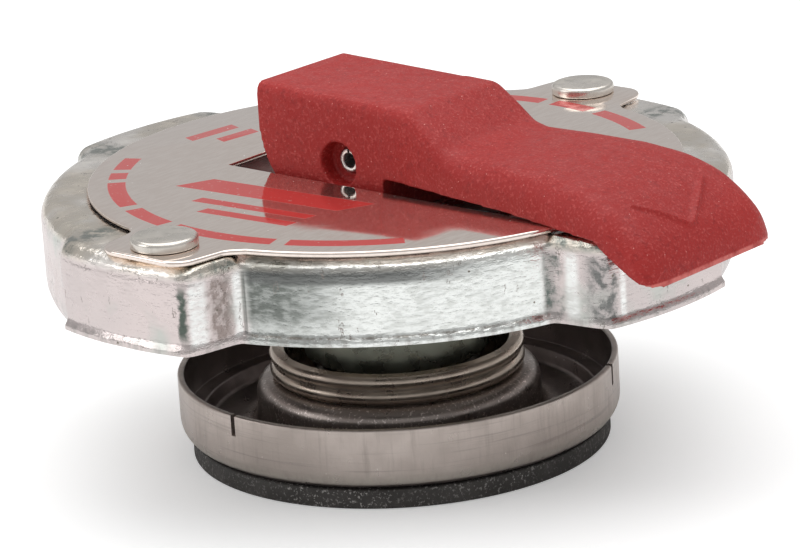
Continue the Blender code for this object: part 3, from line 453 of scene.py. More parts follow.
class Look:
    """A Principled material whose colour, roughness and bump come from noise in object space."""

    def __init__(self, name, metallic=0.0, roughness=0.5):
        self.material = bpy.data.materials.new(name)
        self.material.use_nodes = True
        self.tree = self.material.node_tree
        self.shader = self.tree.nodes["Principled BSDF"]
        self.place = self.node("ShaderNodeTexCoord", {})["Object"]
        self.set("Metallic", metallic)
        self.set("Roughness", roughness)

    def feed(self, socket, value):
        """Sets a number or colour on the socket, or links another node's output to it."""
        if isinstance(value, bpy.types.NodeSocket):
            self.tree.links.new(value, socket)
        else:
            socket.default_value = value

    def set(self, name, value):
        self.feed(self.shader.inputs[name], value)

    def node(self, kind, inputs, **settings):
        """New node with its inputs fed; gives its outputs."""
        made = self.tree.nodes.new(kind)
        for key, value in settings.items():
            setattr(made, key, value)
        for name, value in inputs.items():
            self.feed(made.inputs[name], value)
        return made.outputs

    def math(self, operation, first, second):
        return self.node("ShaderNodeMath", {0: first, 1: second}, operation=operation)["Value"]

    def stretched(self, factors):
        return self.node("ShaderNodeVectorMath", {0: self.place, 1: factors}, operation="MULTIPLY")["Vector"]

    def axes(self):
        """Coordinates in millimetres."""
        place = self.stretched((1.0 / MM, 1.0 / MM, 1.0 / MM))
        return tuple(self.node("ShaderNodeSeparateXYZ", {0: place}))

    def radius_angle(self):
        """Distance from the cap's axis in millimetres, and angle around it in radians."""
        flat = self.stretched((1.0 / MM, 1.0 / MM, 0.0))
        distance = self.node("ShaderNodeVectorMath", {0: flat}, operation="LENGTH")["Value"]
        x, y, _ = self.axes()
        return distance, self.math("ARCTAN2", y, x)

    def noise(self, scale, detail=3.0, rough=0.55):
        """Noise from nought to one; three scales stretch it along the axes."""
        inputs = {"Vector": self.place, "Scale": scale, "Detail": detail, "Roughness": rough}
        if isinstance(scale, tuple):
            inputs.update({"Vector": self.stretched(scale), "Scale": 1.0})
        return self.node("ShaderNodeTexNoise", inputs)["Fac"]

    def band(self, value, low, high, least=0.0, most=1.0):
        """Value mapped smoothly from one range to another and held at the ends."""
        inputs = {"Value": value, "From Min": low, "From Max": high, "To Min": least, "To Max": most}
        return self.node("ShaderNodeMapRange", inputs, interpolation_type="SMOOTHSTEP")["Result"]

    def cloud(self, scale, detail, low, high, least=0.0, most=1.0):
        """Share that follows a noise."""
        return self.band(self.noise(scale, detail), low, high, least, most)

    def specks(self, scale, size):
        """One inside small scattered dots, nought elsewhere."""
        cells = self.node("ShaderNodeTexVoronoi", {"Vector": self.place, "Scale": scale})
        return self.band(cells["Distance"], size, size * 0.6)

    def between(self, value, low, high, soft):
        """One inside a range, falling to nought over a soft width at both ends."""
        rise = self.band(value, low - soft, low + soft)
        return self.math("MULTIPLY", rise, self.band(value, high - soft, high + soft, 1.0, 0.0))

    def joined(self, operation, values):
        result = values[0]
        for value in values[1:]:
            result = self.math(operation, result, value)
        return result

    def times(self, *values):
        return self.joined("MULTIPLY", values)

    def either(self, *values):
        return self.joined("MAXIMUM", values)

    def over(self, under, colour, *shares):
        """One colour over another, by the product of the shares."""
        # The mix node's colours are its inputs 6 and 7 and its output 2
        inputs = {"Factor": self.times(*shares), 6: rgba(under), 7: rgba(colour)}
        return self.node("ShaderNodeMix", inputs, data_type="RGBA")[2]

    def paint(self, colour, *shares):
        """Lays a colour over those painted before, by the product of the shares; the first has none."""
        self.tint = self.over(self.tint, colour, *shares) if shares else colour
        self.set("Base Color", rgba(self.tint))

    def bump(self, height, strength, distance):
        """Adds a layer of bump on top of those set before."""
        inputs = {"Height": height, "Strength": strength, "Distance": distance * MM}
        normal = self.shader.inputs["Normal"]
        if normal.is_linked:
            inputs["Normal"] = normal.links[0].from_socket
        self.set("Normal", self.node("ShaderNodeBump", inputs)["Normal"])


def zinc_look():
    """Bright plating with pinkish lobes; its recesses, shoulders and bends carry painted reflections,
    highlights and shade.
    """
    look = Look("zinc_plated_steel", metallic=1.0)
    radius, angle = look.radius_angle()
    _, _, height = look.axes()
    half = look.math("MODULO", look.math("ADD", angle, math.tau), math.pi)
    grain = look.noise((1500.0, 1500.0, 3200.0), 2.0, 0.6)
    waves = look.noise((800.0, 800.0, 2300.0), 3.0, 0.6)
    coarse = look.noise(900.0, 3.0, 0.65)
    upright = look.noise((1300.0, 1300.0, 60.0), 3.0, 0.6)
    scratch = look.noise((700.0, 700.0, 300.0), 4.0, 0.7)
    ragged = look.math("ADD", half, look.math("MULTIPLY", look.math("SUBTRACT", coarse, 0.5), 0.035))
    skirt = look.band(radius, 29.5, 31.0)
    recess = look.times(skirt, look.between(half, 1.83, 2.80, 0.02))
    side = look.times(skirt, look.band(height, 20.8, 21.6), look.band(height, 27.0, 28.2, 1.0, 0.0))
    lip = look.times(skirt, look.band(height, 20.9, 21.4, 1.0, 0.0))
    rim = look.times(look.band(radius, 30.6, 31.4), look.band(height, LAND_Z - 1.6, LAND_Z - 0.7))

    look.paint((0.68, 0.61, 0.60))
    look.paint((0.75, 0.66, 0.645), look.cloud(60.0, 2.0, 0.38, 0.62))
    look.paint((0.62, 0.64, 0.60), look.cloud(150.0, 3.0, 0.52, 0.74))
    # Painted reflection: the recesses pale and wavy; then painted shade across the first part of each recess,
    # strongest higher up.
    look.paint(look.over((0.95, 0.975, 0.95), (0.76, 0.78, 0.75), look.band(waves, 0.42, 0.66)), recess)
    shade = look.times(look.band(half, 1.93, 2.24, 1.0, 0.0), look.band(height, 22.0, 23.5, 0.55, 1.0))
    look.paint((0.185, 0.20, 0.185), recess, shade, look.band(waves, 0.3, 0.62, 0.72, 1.0))
    # Painted shade in a band under the shoulder, across most of each recess.
    shade_under_shoulder = look.between(height, 26.6, 28.1, 0.35)
    look.paint((0.17, 0.175, 0.17), recess, shade_under_shoulder, look.band(half, 2.3, 2.7, 0.9, 0.0))

    def reflection_band(colour, along, start, end, soft, noise, *shares):
        """Painted reflection band up the skirt's side, between two angles of half a turn, with the noise's
        shares.
        """
        look.paint(colour, side, look.between(along, start, end, soft), look.band(noise, *shares))

    # Painted highlights and dark painted reflections in bands at the bends between the lobes and the
    # recesses.
    highlight_white = (0.99, 1.0, 0.98)
    reflection_band(highlight_white, half, 1.732, 1.757, 0.006, waves, 0.4, 0.65, 1.0, 0.55)
    reflection_band(highlight_white, half, 1.795, 1.811, 0.005, waves, 0.4, 0.65, 1.0, 0.55)
    dark_reflection_patch = look.times(side, look.between(ragged, 1.704, 1.728, 0.007), look.between(height, 21.8, 27.2, 1.0))
    look.paint((0.085, 0.115, 0.095), dark_reflection_patch, look.band(coarse, 0.28, 0.5, 0.45, 0.95))
    reflection_band((0.33, 0.27, 0.25), ragged, 1.762, 1.790, 0.007, coarse, 0.38, 0.55, 0.35, 0.9)
    reflection_band((0.12, 0.13, 0.12), half, 1.814, 1.826, 0.003, upright, 0.3, 0.6, 0.9, 0.4)
    reflection_band((0.10, 0.135, 0.12), ragged, 2.795, 2.835, 0.008, coarse, 0.3, 0.6, 0.95, 0.4)
    reflection_band(highlight_white, half, 2.846, 2.862, 0.005, waves, 0.4, 0.65, 1.0, 0.5)
    reflection_band(highlight_white, half, 2.945, 2.962, 0.006, waves, 0.4, 0.65, 1.0, 0.5)
    reflection_band((0.14, 0.15, 0.145), ragged, 2.872, 2.93, 0.01, coarse, 0.36, 0.6, 0.9, 0.25)

    look.paint((0.42, 0.40, 0.38), lip, look.band(upright, 0.45, 0.65, 0.0, 0.5))
    line = look.times(recess, look.between(height, 21.1, 21.35, 0.1))
    look.paint((0.26, 0.23, 0.20), line, look.band(coarse, 0.4, 0.6, 0.1, 0.8))
    # Painted highlight: pale warm colour along the rim's rounded shoulder.
    warm_highlight = look.over((0.99, 0.95, 0.90), (0.80, 0.73, 0.63), look.cloud(110.0, 4.0, 0.4, 0.62))
    look.paint(warm_highlight, rim, 0.9)
    # Painted shade on the rim's shoulder where it turns round the bends.
    bends = ((1.70, 1.83), (2.78, 2.94), (1.20, 1.30), (0.20, 0.32))
    shade_at_bends = look.either(*[look.between(ragged, start, end, 0.03) for start, end in bends])
    look.paint((0.22, 0.25, 0.23), rim, shade_at_bends, look.band(coarse, 0.40, 0.62, 0.15, 0.85))
    # Painted shade, mottled, in the channel groove.
    groove = look.between(radius, 26.2, 28.2, 0.5)
    look.paint((0.42, 0.40, 0.37), groove, look.band(coarse, 0.42, 0.62, 0.0, 0.5))
    look.paint((0.30, 0.26, 0.24), skirt, look.between(scratch, 0.655, 0.675, 0.006))
    look.paint((0.24, 0.21, 0.18), look.specks(420.0, 0.07))
    look.set("Roughness", look.cloud(300.0, 3.0, 0.35, 0.7, 0.2, 0.34))
    look.bump(look.noise(160.0, 2.0), 0.35, 0.5)
    look.bump(look.times(rim, look.noise(230.0, 2.0)), 0.7, 0.55)
    look.bump(look.times(skirt, waves), 0.5, 0.16)
    look.bump(look.times(look.band(radius, 21.0, 30.0, 0.25, 1.0), grain), 0.5, 0.07)
    return look.material


def worn_steel_look(name, first, second, roughness, streak=(900.0, 900.0, 90.0)):
    """Satin steel with clouds, fine streaks up the wall and pale specks."""
    look = Look(name, metallic=0.9)
    look.paint(first)
    look.paint(second, look.cloud(120.0, 3.0, 0.38, 0.66))
    darker = tuple(0.6 * part for part in second)
    look.paint(darker, look.band(look.noise(streak, 4.0, 0.6), 0.5, 0.75, 0.0, 0.6))
    pale = tuple(min(1.0, 1.6 * part + 0.12) for part in first)
    look.paint(pale, look.specks(650.0, 0.06))
    look.set("Roughness", look.cloud(350.0, 3.0, 0.3, 0.7, roughness - 0.07, roughness + 0.1))
    look.bump(look.noise(2600.0, 2.0), 0.25, 0.05)
    return look.material


def dish_look():
    """Dull plating, paler outside and on the bottom bend, oxidised inside, with a painted highlight on the
    dome.
    """
    look = Look("dull_plated_steel", metallic=0.9)
    radius, _ = look.radius_angle()
    _, _, height = look.axes()
    streaks = look.noise((1500.0, 1500.0, 120.0), 4.0, 0.65)
    rings = look.noise((60.0, 60.0, 2600.0), 3.0, 0.6)
    outside = look.over((0.56, 0.49, 0.45), (0.45, 0.39, 0.355), look.cloud(130.0, 4.0, 0.35, 0.68))
    outside = look.over(outside, (0.36, 0.31, 0.28), look.band(streaks, 0.48, 0.72, 0.0, 0.55))
    outside = look.over(outside, (0.30, 0.26, 0.24), look.band(rings, 0.55, 0.7, 0.0, 0.45))
    bottom = look.band(height, DISH_BOTTOM_Z + 0.9, DISH_BOTTOM_Z + 2.3, 1.0, 0.0)
    outside = look.over(outside, (0.62, 0.57, 0.51), bottom, look.band(streaks, 0.3, 0.6, 0.4, 0.9))
    dome = look.between(radius, 11.0, 16.5, 0.8)
    look.paint((0.22, 0.18, 0.17))
    look.paint((0.16, 0.13, 0.12), look.cloud(240.0, 4.0, 0.4, 0.65))
    # Painted highlight: the dome lighter all over, with fine glitter.
    look.paint((0.46, 0.40, 0.37), dome, 0.8)
    look.paint((0.85, 0.77, 0.73), dome, look.cloud(3600.0, 2.0, 0.56, 0.7))
    look.paint(outside, look.band(radius, DISH_R - 0.75, DISH_R - 0.45))
    look.paint((0.75, 0.70, 0.65), look.specks(700.0, 0.05))
    look.set("Roughness", look.cloud(420.0, 3.0, 0.3, 0.7, 0.27, 0.42))
    look.bump(look.noise(2600.0, 2.0), 0.3, 0.05)
    look.bump(rings, 0.25, 0.05)
    return look.material


def bell_look():
    """Greenish plating with a painted bronze reflection towards the top, and fine scratches."""
    look = Look("green_tinted_steel", metallic=0.9)
    _, _, height = look.axes()
    look.paint((0.33, 0.345, 0.285))
    # Painted reflection: a lighter bronze band towards the top.
    look.paint((0.72, 0.62, 0.50), look.band(height, 13.2, 15.4))
    streaks = look.noise((160.0, 160.0, 1800.0), 4.0, 0.65)
    look.paint((0.36, 0.33, 0.28), look.band(streaks, 0.5, 0.7, 0.0, 0.3))
    scratch = look.noise((1500.0, 1500.0, 150.0), 3.0, 0.5)
    look.paint((0.72, 0.68, 0.60), look.band(scratch, 0.70, 0.74))
    look.set("Roughness", look.cloud(420.0, 3.0, 0.3, 0.7, 0.22, 0.38))
    look.bump(look.noise(2200.0, 2.0), 0.2, 0.05)
    return look.material


def print_mask(look):
    """One where the plate carries red print: plain dashes along the rim and slanted bars."""
    radius, angle = look.radius_angle()
    x, y, _ = look.axes()
    dashes = []
    for start, end in PRINT_DASHES:
        soft = PRINT_EDGE / PRINT_OUTER_R
        dashes.append(look.between(angle, math.radians(start), math.radians(end), soft))
    masks = [look.times(look.between(radius, PRINT_INNER_R, PRINT_OUTER_R, PRINT_EDGE), look.either(*dashes))]

    def along(off_x, off_y, turn):
        """Distance from the bar's centre, measured in a direction."""
        return look.math("ADD", look.math("MULTIPLY", off_x, math.cos(turn)),
                         look.math("MULTIPLY", off_y, math.sin(turn)))

    for centre_x, centre_y, direction, half_length, half_width, slant in PRINT_BARS:
        off_x = look.math("SUBTRACT", x, centre_x)
        off_y = look.math("SUBTRACT", y, centre_y)
        across = along(off_x, off_y, math.radians(direction + 90.0))
        leaned = look.math("SUBTRACT", along(off_x, off_y, math.radians(direction)),
                           look.math("MULTIPLY", across, slant))
        masks.append(look.times(look.between(leaned, -half_length, half_length, PRINT_EDGE),
                                look.between(across, -half_width, half_width, PRINT_EDGE)))
    return look.either(*masks)


def label_look():
    """Clear-coated bare steel with red print, fine dust and light scuffs."""
    look = Look("label_steel")
    look.paint((0.93, 0.81, 0.74))
    look.paint((1.0, 0.89, 0.82), look.band(look.noise((2600.0, 500.0, 2600.0), 3.0, 0.6), 0.35, 0.7))
    printed = print_mask(look)
    worn = look.times(printed, look.cloud(1900.0, 3.0, 0.62, 0.78, 1.0, 0.6))
    look.paint((0.60, 0.06, 0.055), worn)
    dust = look.times(look.specks(800.0, 0.07), look.cloud(120.0, 2.0, 0.45, 0.6))
    look.paint((0.95, 0.92, 0.9), dust)
    look.set("Metallic", look.band(look.either(worn, dust), 0.0, 1.0, 0.97, 0.25))
    scuffs = look.cloud(260.0, 4.0, 0.4, 0.75, 0.0, 0.4)
    look.set("Roughness", look.band(look.either(scuffs, dust), 0.0, 1.0, 0.07, 0.3))
    look.bump(look.noise(90.0, 2.0), 0.1, 0.2)
    look.bump(printed, 0.2, 0.02)
    return look.material


def red_look():
    """Matt moulded plastic with a leather grain, pale dust and a light line of flash along the tip."""
    look = Look("red_plastic")
    x, _, height = look.axes()
    grain = look.noise(3400.0, 2.0, 0.6)
    look.paint((0.37, 0.02, 0.018))
    look.paint((0.43, 0.027, 0.024), look.cloud(45.0, 2.0, 0.35, 0.65))
    look.paint((0.60, 0.10, 0.09), look.band(grain, 0.52, 0.7, 0.0, 0.55))
    look.paint((0.27, 0.012, 0.012), look.cloud(1500.0, 2.0, 0.55, 0.72, 0.0, 0.55))
    flash = look.times(look.band(x, 40.6, 41.4), look.between(height, PIN_Z - 6.2, PIN_Z - 5.7, 0.1))
    look.paint((0.72, 0.17, 0.15), flash, look.cloud(500.0, 3.0, 0.35, 0.6, 0.25, 1.0))
    look.paint((0.74, 0.30, 0.27), look.either(look.specks(1100.0, 0.075), look.specks(520.0, 0.045)))
    look.set("Specular IOR Level", 0.35)
    look.set("Roughness", look.cloud(700.0, 3.0, 0.35, 0.7, 0.42, 0.6))
    look.bump(grain, 0.85, 0.11)
    look.bump(look.noise(700.0, 2.0), 0.3, 0.12)
    return look.material


def rubber_look():
    """Dull black rubber with pale grains in patches."""
    look = Look("black_rubber", roughness=0.72)
    grain = look.noise(3000.0, 3.0, 0.7)
    look.paint((0.042, 0.038, 0.035))
    look.paint((0.062, 0.057, 0.053), look.cloud(300.0, 3.0, 0.4, 0.7))
    patches = look.cloud(110.0, 2.0, 0.42, 0.62, 0.25, 1.0)
    look.paint((0.45, 0.43, 0.41), patches, look.band(grain, 0.55, 0.66))
    look.bump(grain, 0.8, 0.12)
    return look.material


ZINC = zinc_look()
LABEL = label_look()
RED = red_look()
RUBBER = rubber_look()
DULL_STEEL = dish_look()
GREEN_STEEL = bell_look()
RIVET = worn_steel_look("rivet_steel", (0.82, 0.77, 0.71), (0.70, 0.66, 0.60), 0.28)
BRONZE_STEEL = worn_steel_look("bronze_tinted_steel", (0.66, 0.56, 0.47), (0.48, 0.40, 0.34), 0.28,
                               streak=(160.0, 160.0, 1500.0))
BRIGHT_STEEL = worn_steel_look("bright_steel", (0.72, 0.71, 0.69), (0.62, 0.61, 0.59), 0.3)
PIN_STEEL = worn_steel_look("pin_steel", (0.66, 0.65, 0.64), (0.50, 0.49, 0.48), 0.25)
SPRING_STEEL = worn_steel_look("spring_steel", (0.32, 0.31, 0.30), (0.24, 0.23, 0.22), 0.35)
BRASS = worn_steel_look("vent_brass", (0.72, 0.52, 0.24), (0.58, 0.42, 0.19), 0.32)


# Shell

def blend(value, start, end):
    share = min(max((value - start) / (end - start), 0.0), 1.0)
    return share * share * (3.0 - 2.0 * share)


def wall_radius(angle):
    """Outer radius of the skirt; the two halves of the cap are alike, half a turn apart."""
    half = angle % 180.0
    lobe_x_share = ((half - LOBE_X_START) % 180.0) / (LOBE_X_END + 180.0 - LOBE_X_START)
    if lobe_x_share <= 1.0:
        return LOBE_MIN_R + (LOBE_MAX_R - LOBE_MIN_R) * lobe_x_share
    if half < TAB_START:
        return LOBE_MAX_R + (TAB_R - LOBE_MAX_R) * blend(half, LOBE_X_END, TAB_START)
    if half < TAB_END:
        return TAB_R
    if half < LOBE_Y_START:
        return TAB_R + (LOBE_MAX_R - TAB_R) * blend(half, TAB_END, LOBE_Y_START)
    if half < LOBE_Y_END:
        return LOBE_MAX_R + (LOBE_MIN_R - LOBE_MAX_R) * (half - LOBE_Y_START) / (LOBE_Y_END - LOBE_Y_START)
    if half < FLAT_START:
        return LOBE_MIN_R + (RECESS_R - LOBE_MIN_R) * blend(half, LOBE_Y_END, FLAT_START)
    if half < FLAT_END:
        return RECESS_R
    return RECESS_R + (LOBE_MIN_R - RECESS_R) * blend(half, FLAT_END, LOBE_X_START)


def flared_end(radius, pieces=10):
    """Outer side of the skirt's plain lower end, which spreads a little."""
    points = []
    for i in range(pieces + 1):
        fall = i / pieces
        points.append((radius + SKIRT_FLARE * blend(fall, 0.1, 0.75),
                       SKIRT_Z + SKIRT_FLARE_HEIGHT * (1.0 - fall)))
    return points


def curled_end(radius, pieces=10):
    """Outer side of a locking tab, curled inward under the skirt."""
    centre = (radius - TAB_CURL_R, TAB_BOTTOM_Z + TAB_CURL_R)
    return arc(centre, TAB_CURL_R, 0.0, -90.0, pieces - 1) + [(TAB_TIP_R, TAB_BOTTOM_Z)]


def offset_corners(corners, thick):
    """Corners of the same outline on the sheet's other side."""
    moved = []
    for i, corner in enumerate(corners):
        before = Vector(corners[max(i - 1, 0)])
        here = Vector(corner)
        after = Vector(corners[min(i + 1, len(corners) - 1)])
        sides = [(here - before), (after - here)]
        normals = [Vector((side.y, -side.x)).normalized() for side in sides if side.length > 0.0]
        shift = (normals[0] + normals[-1]) / (1.0 + normals[0].dot(normals[-1]))
        moved.append(tuple(here + shift * thick))
    return moved


def inward(points, thick):
    """The sheet's other side, moved in by the sheet's thickness."""
    moved = []
    for i, point in enumerate(points):
        before = points[max(i - 1, 0)]
        after = points[min(i + 1, len(points) - 1)]
        along = Vector((after[0] - before[0], after[1] - before[1])).normalized()
        moved.append((point[0] + along[1] * thick, point[1] - along[0] * thick))
    return moved


def upper_section(radius):
    """Outer and inner side of the sheet, from the middle out to the top of the slits."""
    channel_z = LAND_Z - CHANNEL_DEPTH
    corners = [(POCKET_FRONT_X / 2.0, LAND_Z), (LAND_R, LAND_Z), (LAND_R + CHANNEL_SLOPE, channel_z),
               (CHANNEL_R, channel_z), (RIM_LAND_R, LAND_Z), (radius, LAND_Z), (radius, SLIT_TOP_Z)]
    return fillet(corners, OUTER_BENDS, 7), fillet(offset_corners(corners, SHEET), INNER_BENDS, 7)


def shell_stretches():
    """Start, end, steps and lower end of each stretch around half a turn; a slit has no lower end."""
    return [(LOBE_X_START - 180.0, LOBE_X_END - SLIT_OVERLAP, 18, flared_end),
            (LOBE_X_END - SLIT_OVERLAP, TAB_START + SLIT_OVERLAP, 8, None),
            (TAB_START + SLIT_OVERLAP, TAB_END - SLIT_OVERLAP, 24, curled_end),
            (TAB_END - SLIT_OVERLAP, LOBE_Y_START + SLIT_OVERLAP, 8, None),
            (LOBE_Y_START + SLIT_OVERLAP, LOBE_Y_END, 18, flared_end),
            (LOBE_Y_END, FLAT_START, 12, flared_end),
            (FLAT_START, FLAT_END, 30, flared_end),
            (FLAT_END, LOBE_X_START, 12, flared_end)]


def skirt_face(outer, inner, low_outer, low_inner):
    return [outer[-1]] + low_outer + list(reversed(low_inner)) + [inner[-1]]


def shell_sheet():
    """Pressed sheet whose section changes around the axis, with its slits left open."""
    steps = []
    for turn in (0.0, 180.0):
        for start, end, pieces, lower_end in shell_stretches():
            for i in range(pieces):
                steps.append((turn + start + (end - start) * i / pieces, lower_end))
    shape = bmesh.new()

    def ring(angle, points):
        return vertices(shape, [around(math.radians(angle), r, z) for r, z in points])

    uppers = []
    lowers = []
    for i, (angle, lower_end) in enumerate(steps):
        radius = wall_radius(angle)
        outer, inner = upper_section(radius)
        uppers.append((ring(angle, outer), ring(angle, inner)))
        end = lower_end or steps[i - 1][1]
        if end is None:
            lowers.append(None)
            continue
        points = end(radius)
        low_inner = inward([(radius, SLIT_TOP_Z)] + points, SHEET)[1:]
        lowers.append((ring(angle, points), ring(angle, low_inner)))
    for i, (angle, lower_end) in enumerate(steps):
        k = (i + 1) % len(steps)
        outer, inner = uppers[i]
        next_outer, next_inner = uppers[k]
        near = list(reversed(inner)) + outer
        far = list(reversed(next_inner)) + next_outer
        if lower_end is None:
            shape.faces.new((outer[-1], next_outer[-1], next_inner[-1], inner[-1]))
            bridge(shape, [near, far], closed_rings=False)
            continue
        near += lowers[i][0] + list(reversed(lowers[i][1]))
        far += lowers[k][0] + list(reversed(lowers[k][1]))
        bridge(shape, [near, far])
        if steps[i - 1][1] is None:
            shape.faces.new(skirt_face(outer, inner, *lowers[i]))
        if steps[k][1] is None:
            shape.faces.new(skirt_face(next_outer, next_inner, *lowers[k]))
    return object_from(shape, "shell_finish", ZINC)


def rivet_holes(name, low, high):
    return [disc(name + where, RIVET_SHANK_R + FIT_GAP, (0.0, y), low, high) for where, y in RIVET_PLACES]


def build_shell():
    shell = shell_sheet()
    corners = [(POCKET_BACK_X, -POCKET_HALF_WIDTH), (POCKET_FRONT_X, -POCKET_HALF_WIDTH),
               (POCKET_FRONT_X, POCKET_HALF_WIDTH), (POCKET_BACK_X, POCKET_HALF_WIDTH)]
    wide = [(x + math.copysign(SHEET, x), y + math.copysign(SHEET, y)) for x, y in corners]
    outside = prism("pocket_outside", fillet(wide, [POCKET_OUTER_CORNER_R] * 4, 6, True),
                    POCKET_FLOOR_Z - SHEET, LAND_Z - 0.5 * SHEET)
    inside = prism("pocket_inside", fillet(corners, [POCKET_INNER_CORNER_R] * 4, 6, True),
                   POCKET_FLOOR_Z, LAND_Z + SHEET)
    collar_z = POCKET_FLOOR_Z - 0.5 * SHEET
    flare_r = COLLAR_R + COLLAR_FLARE
    flare_top = BELL_TOP_Z - BELL_SHEET - STACK_GAP
    flare_low = flare_top - COLLAR_FLARE_THICK
    collar = turned("collar", [(0.0, collar_z), (COLLAR_R, collar_z), (COLLAR_R, flare_top),
                               (flare_r, flare_top), (flare_r, flare_low), (0.0, flare_low)], steps=64)
    combine(shell, [outside, collar], "UNION")
    stem_hole = disc("stem_hole", STEM_R + SLIDE_GAP, (0.0, 0.0), flare_low - CUT_MARGIN,
                     POCKET_FLOOR_Z + CUT_MARGIN)
    holes = rivet_holes("shell_rivet_hole_", LAND_Z - 3.0 * CUT_MARGIN, LAND_Z + CUT_MARGIN)
    combine(shell, [inside, stem_hole] + holes, "DIFFERENCE")
    keep_inside(shell, "shell")
    smooth_mesh(shell.data)
    put(shell, "cap", "shell")


# Label plate and rivets

def plate_outline():
    """Half circle with an ear at +Y, from the slot's side round to the back, then mirrored."""
    slot_angle = math.degrees(math.asin(PLATE_SLOT_HALF_WIDTH / PLATE_R))
    ear_angle = math.degrees(math.acos(PLATE_EAR_ROOT_HALF_WIDTH / PLATE_R))
    half = arc((0.0, 0.0), PLATE_R, slot_angle, ear_angle, 40)
    start_x, start_y = half[-1]
    root_x = PLATE_EAR_HALF_WIDTH + PLATE_EAR_ROOT_SPREAD
    root_y = start_y + PLATE_EAR_ROOT_RISE
    end_x = PLATE_EAR_HALF_WIDTH - PLATE_EAR_TAPER
    ear = [(start_x, start_y), (root_x, root_y), (end_x, PLATE_EAR_REACH),
           (-end_x, PLATE_EAR_REACH), (-root_x, root_y), (-start_x, start_y)]
    ear_bends = [0.0, PLATE_EAR_ROOT_R, PLATE_EAR_CORNER_R, PLATE_EAR_CORNER_R, PLATE_EAR_ROOT_R, 0.0]
    half = half[:-1] + fillet(ear, ear_bends, 8)
    half += arc((0.0, 0.0), PLATE_R, 180.0 - ear_angle, 180.0, 44)[1:]
    mirrored = [(x, -y) for x, y in reversed(half[:-1])]
    back = [(PLATE_SLOT_BACK_X, -PLATE_SLOT_HALF_WIDTH), (PLATE_SLOT_BACK_X, PLATE_SLOT_HALF_WIDTH)]
    return half + mirrored + back


def build_plate():
    plate = prism("label_plate_finish", plate_outline(), PLATE_Z, PLATE_TOP_Z, LABEL)
    soften(plate, PLATE_EDGE_R, 4, 60.0)
    holes = rivet_holes("plate_rivet_hole_", PLATE_Z - CUT_MARGIN, PLATE_TOP_Z + CUT_MARGIN)
    combine(plate, holes, "DIFFERENCE")
    smooth_mesh(plate.data)
    put(plate, "cap", "label_plate")


def build_rivets():
    head_low = PLATE_TOP_Z + FIT_GAP
    head_top = head_low + RIVET_HEAD_THICK
    tail_top = LAND_Z - SHEET - FIT_GAP
    tail_low = tail_top - RIVET_TAIL_THICK
    outline = [(0.0, head_top), (RIVET_HEAD_R, head_top), (RIVET_HEAD_R, head_low), (RIVET_SHANK_R, head_low),
               (RIVET_SHANK_R, tail_top), (RIVET_TAIL_R, tail_top), (RIVET_TAIL_R, tail_low), (0.0, tail_low)]
    for where, y in RIVET_PLACES:
        rivet = turned("rivet_" + where + "_finish", fillet(outline, RIVET_BENDS, 6), RIVET, 72)
        rivet.data.transform(Matrix.Translation((0.0, y * MM, 0.0)))
        put(rivet, "cap", "rivet_" + where)


# Lever

def cam_points(pieces):
    """Heel whose reach below the pin grows evenly with the lever's turn."""
    points = []
    for i in range(pieces + 1):
        turn = LEVER_TURN * i / pieces
        span = HEEL_REACH_DOWN + CAM_RATE * turn
        points.append((-span * math.sin(turn) - CAM_RATE * math.cos(turn),
                       -span * math.cos(turn) + CAM_RATE * math.sin(turn)))
    return points


def handle_half_width(x):
    share = min(max((x - HANDLE_FLARE_START_X) / HANDLE_FLARE_LENGTH, 0.0), 1.0)
    return LEVER_HALF_WIDTH + (HANDLE_HALF_WIDTH - LEVER_HALF_WIDTH) * share


def hollow_sections():
    """Cross-sections of the hollow under the handle, open below."""
    sections = []
    for x, roof in HOLLOW_ROOF:
        half_width = handle_half_width(x) - HANDLE_WALL - HOLLOW_TAPER * max(x - HOLLOW_TAPER_START_X, 0.0)
        floor = min(roof, HOLLOW_MOUTH_Z) - HOLLOW_MOUTH_DROP
        shoulder = roof - HOLLOW_BEVEL_DEPTH
        flat = half_width - HOLLOW_BEVEL_WIDTH
        sections.append([(x, -half_width, floor), (x, half_width, floor), (x, half_width, shoulder),
                         (x, flat, roof), (x, -flat, roof), (x, -half_width, shoulder)])
    return sections


def crown_sections():
    """Cross-sections along the lever that give its top, its rounded shoulders and its plan."""
    line = fillet(LEVER_TOP, LEVER_TOP_BENDS, 5)
    (back_x, back_z), (front_x, front_z) = line[:2]
    seam = (SEAM_X - SEAM_HALF_WIDTH, SEAM_X + SEAM_HALF_WIDTH)
    for x in seam:
        line.append((x, back_z + (front_z - back_z) * (x - back_x) / (front_x - back_x)))
    sections = []
    for x, top in sorted(line):
        past = max(x - (HANDLE_TIP_X - THUMB_CORNER_R), 0.0)
        half_width = handle_half_width(x) - THUMB_CORNER_R
        half_width += math.sqrt(max(THUMB_CORNER_R ** 2 - past ** 2, 0.0))
        half_width += SEAM_STEP * (blend(x, *seam) - blend(x, *SEAM_FADE))
        crown_r = BODY_CROWN_R + (HANDLE_CROWN_R - BODY_CROWN_R) * blend(x, *CROWN_GROWTH)
        side = [(half_width, top - CROWN_DEPTH)]
        side += arc((half_width - crown_r, top - crown_r), crown_r, 0.0, 90.0, 8)
        sections.append([(x, y, z) for y, z in side] + [(x, -y, z) for y, z in reversed(side)])
    return sections


def top_at(x):
    """Height of the lever's top line before its bends are rounded."""
    for (x0, z0), (x1, z1) in zip(LEVER_TOP, LEVER_TOP[1:]):
        if x0 <= x <= x1:
            return z0 + (z1 - z0) * (x - x0) / (x1 - x0)
    return LEVER_TOP[-1][1]


